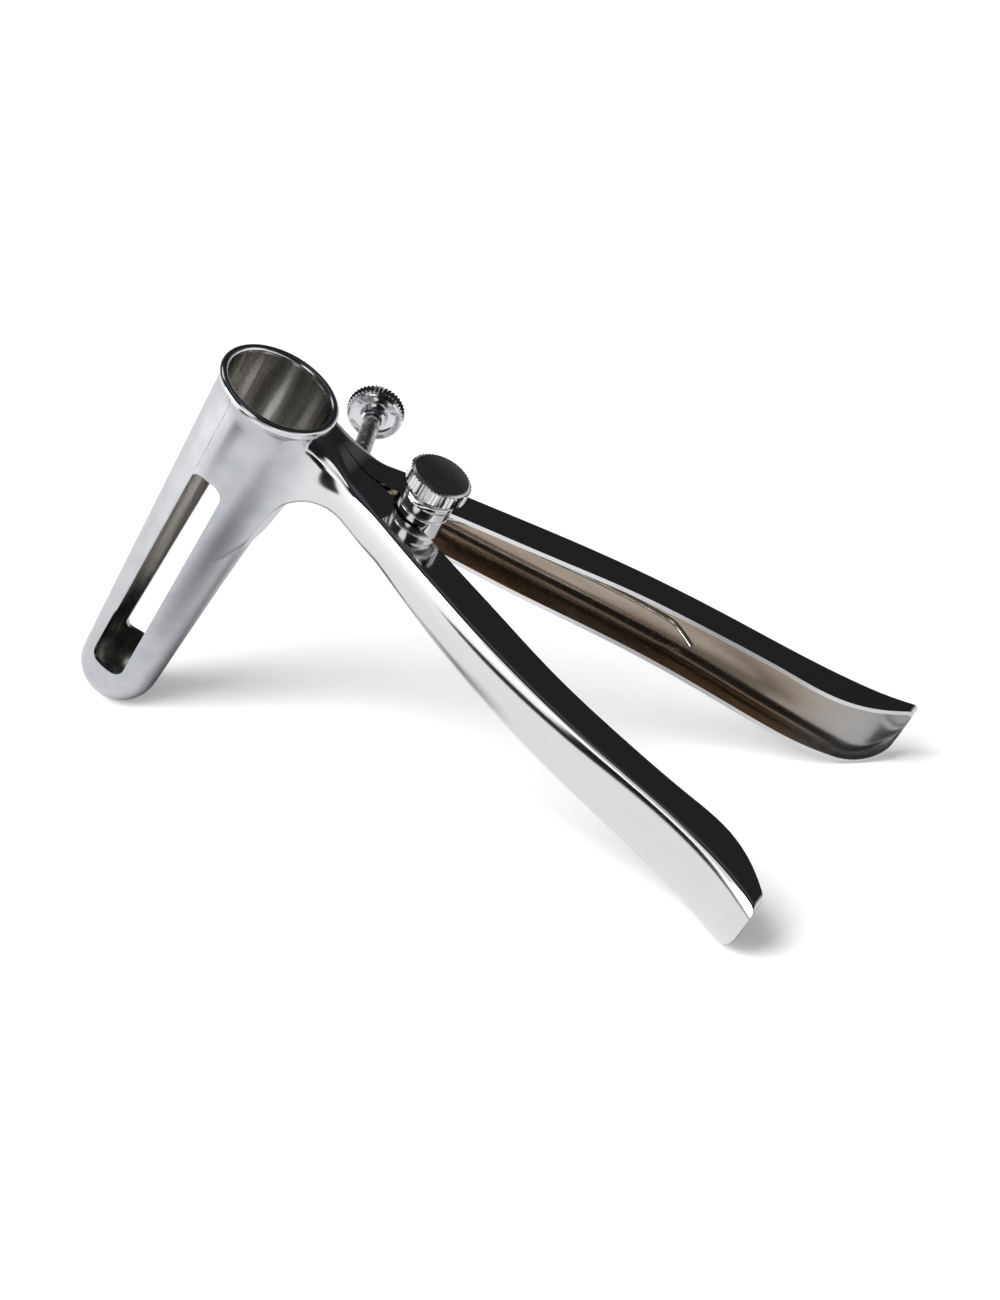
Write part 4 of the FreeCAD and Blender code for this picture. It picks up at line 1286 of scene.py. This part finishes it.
@dataclass
class Studio:
    """Floor, lamps, surroundings and camera.

    The room and the floor's two painted dark patches are only seen as reflections; each is near black painted into the
    floor's colour, a painted dark reflection. A patch is a centre and half a size.
    """

    camera_at: tuple[float, float, float] = (163.75, -687.11, 478.06)
    camera_forward: tuple[float, float, float] = (-0.1073, 0.8041, -0.5847)
    camera_up: tuple[float, float, float] = (-0.5881, 0.4228, 0.6895)
    lens: float = 138.75
    floor_size: float = 6.0
    # Centre of the painted shadow and the painted glow that the floor shows in reflections, in metres.
    shade_centre: tuple[float, float] = (-0.038, -0.022)
    # Painted dark patches: centre and half size, in metres, of near black painted into the floor's reflected colour.
    painted_dark_patches: tuple = (
        ((-0.118, -0.178), (0.112, 0.036)),
        ((-0.020, -0.420), (0.150, 0.255)),
    )
    panels: tuple[Panel, ...] = (
        Panel((-0.65, -0.71, 0.1), 38.0, 62.0, 0.84, 0.32),
        Panel((0.95, 0.25, 0.1), 12.0, 26.0, 0.9, 0.3),
        Panel((-0.55, 0.25, 0.8), 7.0, 15.0, 0.9),
        Panel((0.55, -0.83, 0.1), 20.0, 34.0, 0.01),
        Panel((0.05, -0.82, 0.56), 11.0, 17.0, 1.1),
    )

    def build_camera(self) -> None:
        """Sets the camera at the photograph's place."""
        data = bpy.data.cameras.new("view")
        data.lens = self.lens
        data.sensor_width = 36.0
        data.sensor_fit = "HORIZONTAL"
        data.clip_start = 0.01
        data.clip_end = 20.0
        camera = new_object("view", data)
        turn = Matrix.Rotation(math.radians(STANDING_TILT_DEG), 3, "Y")
        back = -(turn @ Vector(self.camera_forward)).normalized()
        up = turn @ Vector(self.camera_up)
        right = up.cross(back).normalized()
        up = back.cross(right)
        matrix = Matrix((right, up, back)).transposed().to_4x4()
        matrix.translation = stood(self.camera_at)
        camera.matrix_world = matrix
        bpy.context.scene.camera = camera

    def build_floor(self) -> None:
        """Lays the pale floor: white to the camera with its shadow; in reflections grey, with a painted shadow round
        the shade centre, a painted glow that rises away from it and two painted dark patches.
        """
        material = new_material("pale_floor")
        tree = material.node_tree
        seen = add_node(tree, "ShaderNodeLightPath").outputs["Is Camera Ray"]
        place = add_node(tree, "ShaderNodeMapping", inputs={
            "Vector": add_node(tree, "ShaderNodeTexCoord").outputs["Object"],
            "Location": (-self.shade_centre[0], -self.shade_centre[1], 0.0)}).outputs["Vector"]
        away = add_node(tree, "ShaderNodeVectorMath", {"operation": "LENGTH"}, {0: place}).outputs["Value"]
        # Painted glow: the floor's emission grows away from the shade centre, lifting the camera's view of the floor to
        # white and brightening its reflections far from the instrument.
        distant = eased(tree, away, 0.25, 1.1, 0.5)
        backdrop = add_node(tree, "ShaderNodeMath", {"operation": "MULTIPLY_ADD"}, {
            0: distant, 1: 1.6, 2: 0.3}).outputs[0]
        # Painted shadow: in reflections the floor is dark grey at the shade centre and pales outwards.
        shade = ramp(tree, away, ((0.0, linear("7E7E80")), (0.018, linear("B0B0B2")), (0.034, linear("E4E4E5")),
                                  (0.12, linear("E4E4E4")), (0.22, linear("EAEAEA")), (0.6, linear("F4F4F4"))))
        # Each painted dark patch turns the floor's reflected colour near black and takes its painted glow away.
        for centre, half_size in self.painted_dark_patches:
            dark_patch = add_node(tree, "ShaderNodeMapping", {"vector_type": "TEXTURE"}, {
                "Vector": add_node(tree, "ShaderNodeTexCoord").outputs["Object"],
                "Location": (*centre, 0.0), "Scale": (*half_size, 1.0)}).outputs["Vector"]
            across = add_node(tree, "ShaderNodeVectorMath", {"operation": "LENGTH"}, {0: dark_patch}).outputs["Value"]
            on_dark_patch = eased(tree, across, 1.1, 0.9)
            shade = mixed(tree, on_dark_patch, shade, linear("0A0A0B"))
            distant = add_node(tree, "ShaderNodeMath", {"operation": "MULTIPLY"}, {0: distant, 1: add_node(
                tree, "ShaderNodeMath", {"operation": "SUBTRACT"}, {0: 1.0, 1: on_dark_patch}).outputs[0]}).outputs[0]
        # The camera sees the plain pale colour; only reflections see the painted shadow and the dark patches.
        colour = mixed(tree, seen, shade, linear("F2F2F1"))
        paper = add_node(tree, "ShaderNodeBsdfDiffuse", inputs={"Color": colour}).outputs["BSDF"]
        glow = add_node(tree, "ShaderNodeMix", inputs={0: seen, 2: distant, 3: backdrop}).outputs[0]
        light = add_node(tree, "ShaderNodeEmission", inputs={"Strength": glow}).outputs["Emission"]
        both = add_node(tree, "ShaderNodeAddShader", inputs={0: paper, 1: light}).outputs["Shader"]
        add_node(tree, "ShaderNodeOutputMaterial", inputs={"Surface": both})
        half = self.floor_size / 2
        mesh = bpy.data.meshes.new("floor")
        mesh.from_pydata([(-half, -half, 0), (half, -half, 0), (half, half, 0), (-half, half, 0)], [], [(0, 1, 2, 3)])
        mesh.materials.append(material)
        floor = new_object("floor", mesh)

    def build_lamp(self, name: str, place: tuple, size: float, power: float, glossy: bool) -> None:
        """Hangs one soft lamp that faces the instrument.

        Args:
            name: The lamp's name.
            place: Its place in metres.
            size: Its side in metres.
            power: Its power in watts.
            glossy: Whether it shows as a reflection.
        """
        data = bpy.data.lights.new(name, "AREA")
        data.size = size
        data.energy = power
        lamp = new_object(name, data)
        lamp.location = place
        lamp.rotation_euler = (Vector((0.0, 0.0, 0.04)) - Vector(place)).to_track_quat("-Z", "Y").to_euler()
        lamp.visible_glossy = glossy

    def build_world(self) -> None:
        """Builds the room that the metal mirrors: dark ceiling, grey walls, four white panels and a dark one."""
        world = bpy.data.worlds.new("room")
        world.use_nodes = True
        bpy.context.scene.world = world
        tree = world.node_tree
        tree.nodes.clear()
        way = add_node(tree, "ShaderNodeTexCoord").outputs["Generated"]
        height = add_node(tree, "ShaderNodeSeparateXYZ", inputs={"Vector": way}).outputs["Z"]
        light = ramp(tree, height, (
            (0.00, linear("8C8C8E")), (0.16, linear("A8A8AA")), (0.30, linear("565658")), (0.42, linear("242425")),
            (0.80, linear("2A2A2C")), (1.00, linear("4C4E52"))))
        for panel in self.panels:
            facing = add_node(tree, "ShaderNodeVectorMath", {"operation": "DOT_PRODUCT"}, {
                0: way, 1: Vector(panel.towards).normalized()}).outputs["Value"]
            share = eased(tree, facing, *(math.cos(math.radians(turn)) for turn in (panel.outer_deg, panel.inner_deg)))
            if panel.ceiling < 1.0:
                below = eased(tree, height, panel.ceiling + 0.05, panel.ceiling)
                share = add_node(tree, "ShaderNodeMath", {"operation": "MULTIPLY"}, {0: share, 1: below}).outputs[0]
            light = mixed(tree, share, light, (panel.level, panel.level, panel.level, 1.0))
        room = add_node(tree, "ShaderNodeBackground", inputs={"Color": light}).outputs["Background"]
        plain = add_node(tree, "ShaderNodeBackground", inputs={"Color": (1.0, 1.0, 1.0, 1.0)}).outputs["Background"]
        seen = add_node(tree, "ShaderNodeLightPath").outputs["Is Camera Ray"]
        mix = add_node(tree, "ShaderNodeMixShader", inputs={0: seen, 1: room, 2: plain}).outputs["Shader"]
        add_node(tree, "ShaderNodeOutputWorld", inputs={"Surface": mix})

    def build(self) -> None:
        """Builds the whole studio."""
        self.build_camera()
        self.build_floor()
        self.build_world()
        self.build_lamp("overhead_panel", (-0.5, -0.9, 1.5), size=1.4, power=44.0, glossy=False)
        self.build_lamp("left_panel", (-1.5, -0.9, 0.45), size=0.8, power=8.0, glossy=True)
        bpy.context.scene.view_settings.view_transform = "Standard"


def dress_nodes(finishes: Finishes, plan: dict[str, MetalFinish]) -> None:
    """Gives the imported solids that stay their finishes."""
    for node, finish in plan.items():
        mesh = frame["nodes"][node].data
        mesh.materials.clear()
        mesh.materials.append(finishes.get(finish))


def main() -> None:
    """Builds every piece in order and reports it."""
    logging.basicConfig(level=logging.INFO, format="%(message)s")
    finishes = Finishes()
    knurl, coil = knurl_tree(), coil_tree()
    builders: list[tuple[str, Callable[[], object]]] = [
        ("studio", Studio().build),
        ("front blade", lambda: Blade(Side.FRONT).build(finishes)),
        ("rear blade", lambda: Blade(Side.REAR).build(finishes)),
        ("front handle", lambda: Handle(Side.FRONT, reach=152.3).build(finishes)),
        ("rear handle", lambda: Handle(Side.REAR, reach=153.8, end_low_round=8.9).build(finishes)),
        ("hinge screw", lambda: HingeStack().build(finishes, knurl)),
        ("hinge rings", lambda: [ring.build(finishes, HingeStack().x) for ring in RINGS]),
        ("wire spring", lambda: WireSpring().build(finishes, coil)),
        ("spreading stem", lambda: SpreadingScrew().build_stem(finishes, coil)),
        ("spreading knob", lambda: SpreadingScrew().build_knob(finishes, knurl)),
    ]
    for name, build in builders:
        build()
        LOG.info("built %s", name)
    dress_nodes(finishes, {
        "rear_lower_knuckle": MIRROR_PLATE,
        "set_screw_boss": TURNED_PLATE, "thrust_pad": TURNED_PLATE, "spring_front_leg": SPRING_WIRE,
        "spring_rear_leg": SPRING_WIRE})


if __name__ == "__main__":
    main()
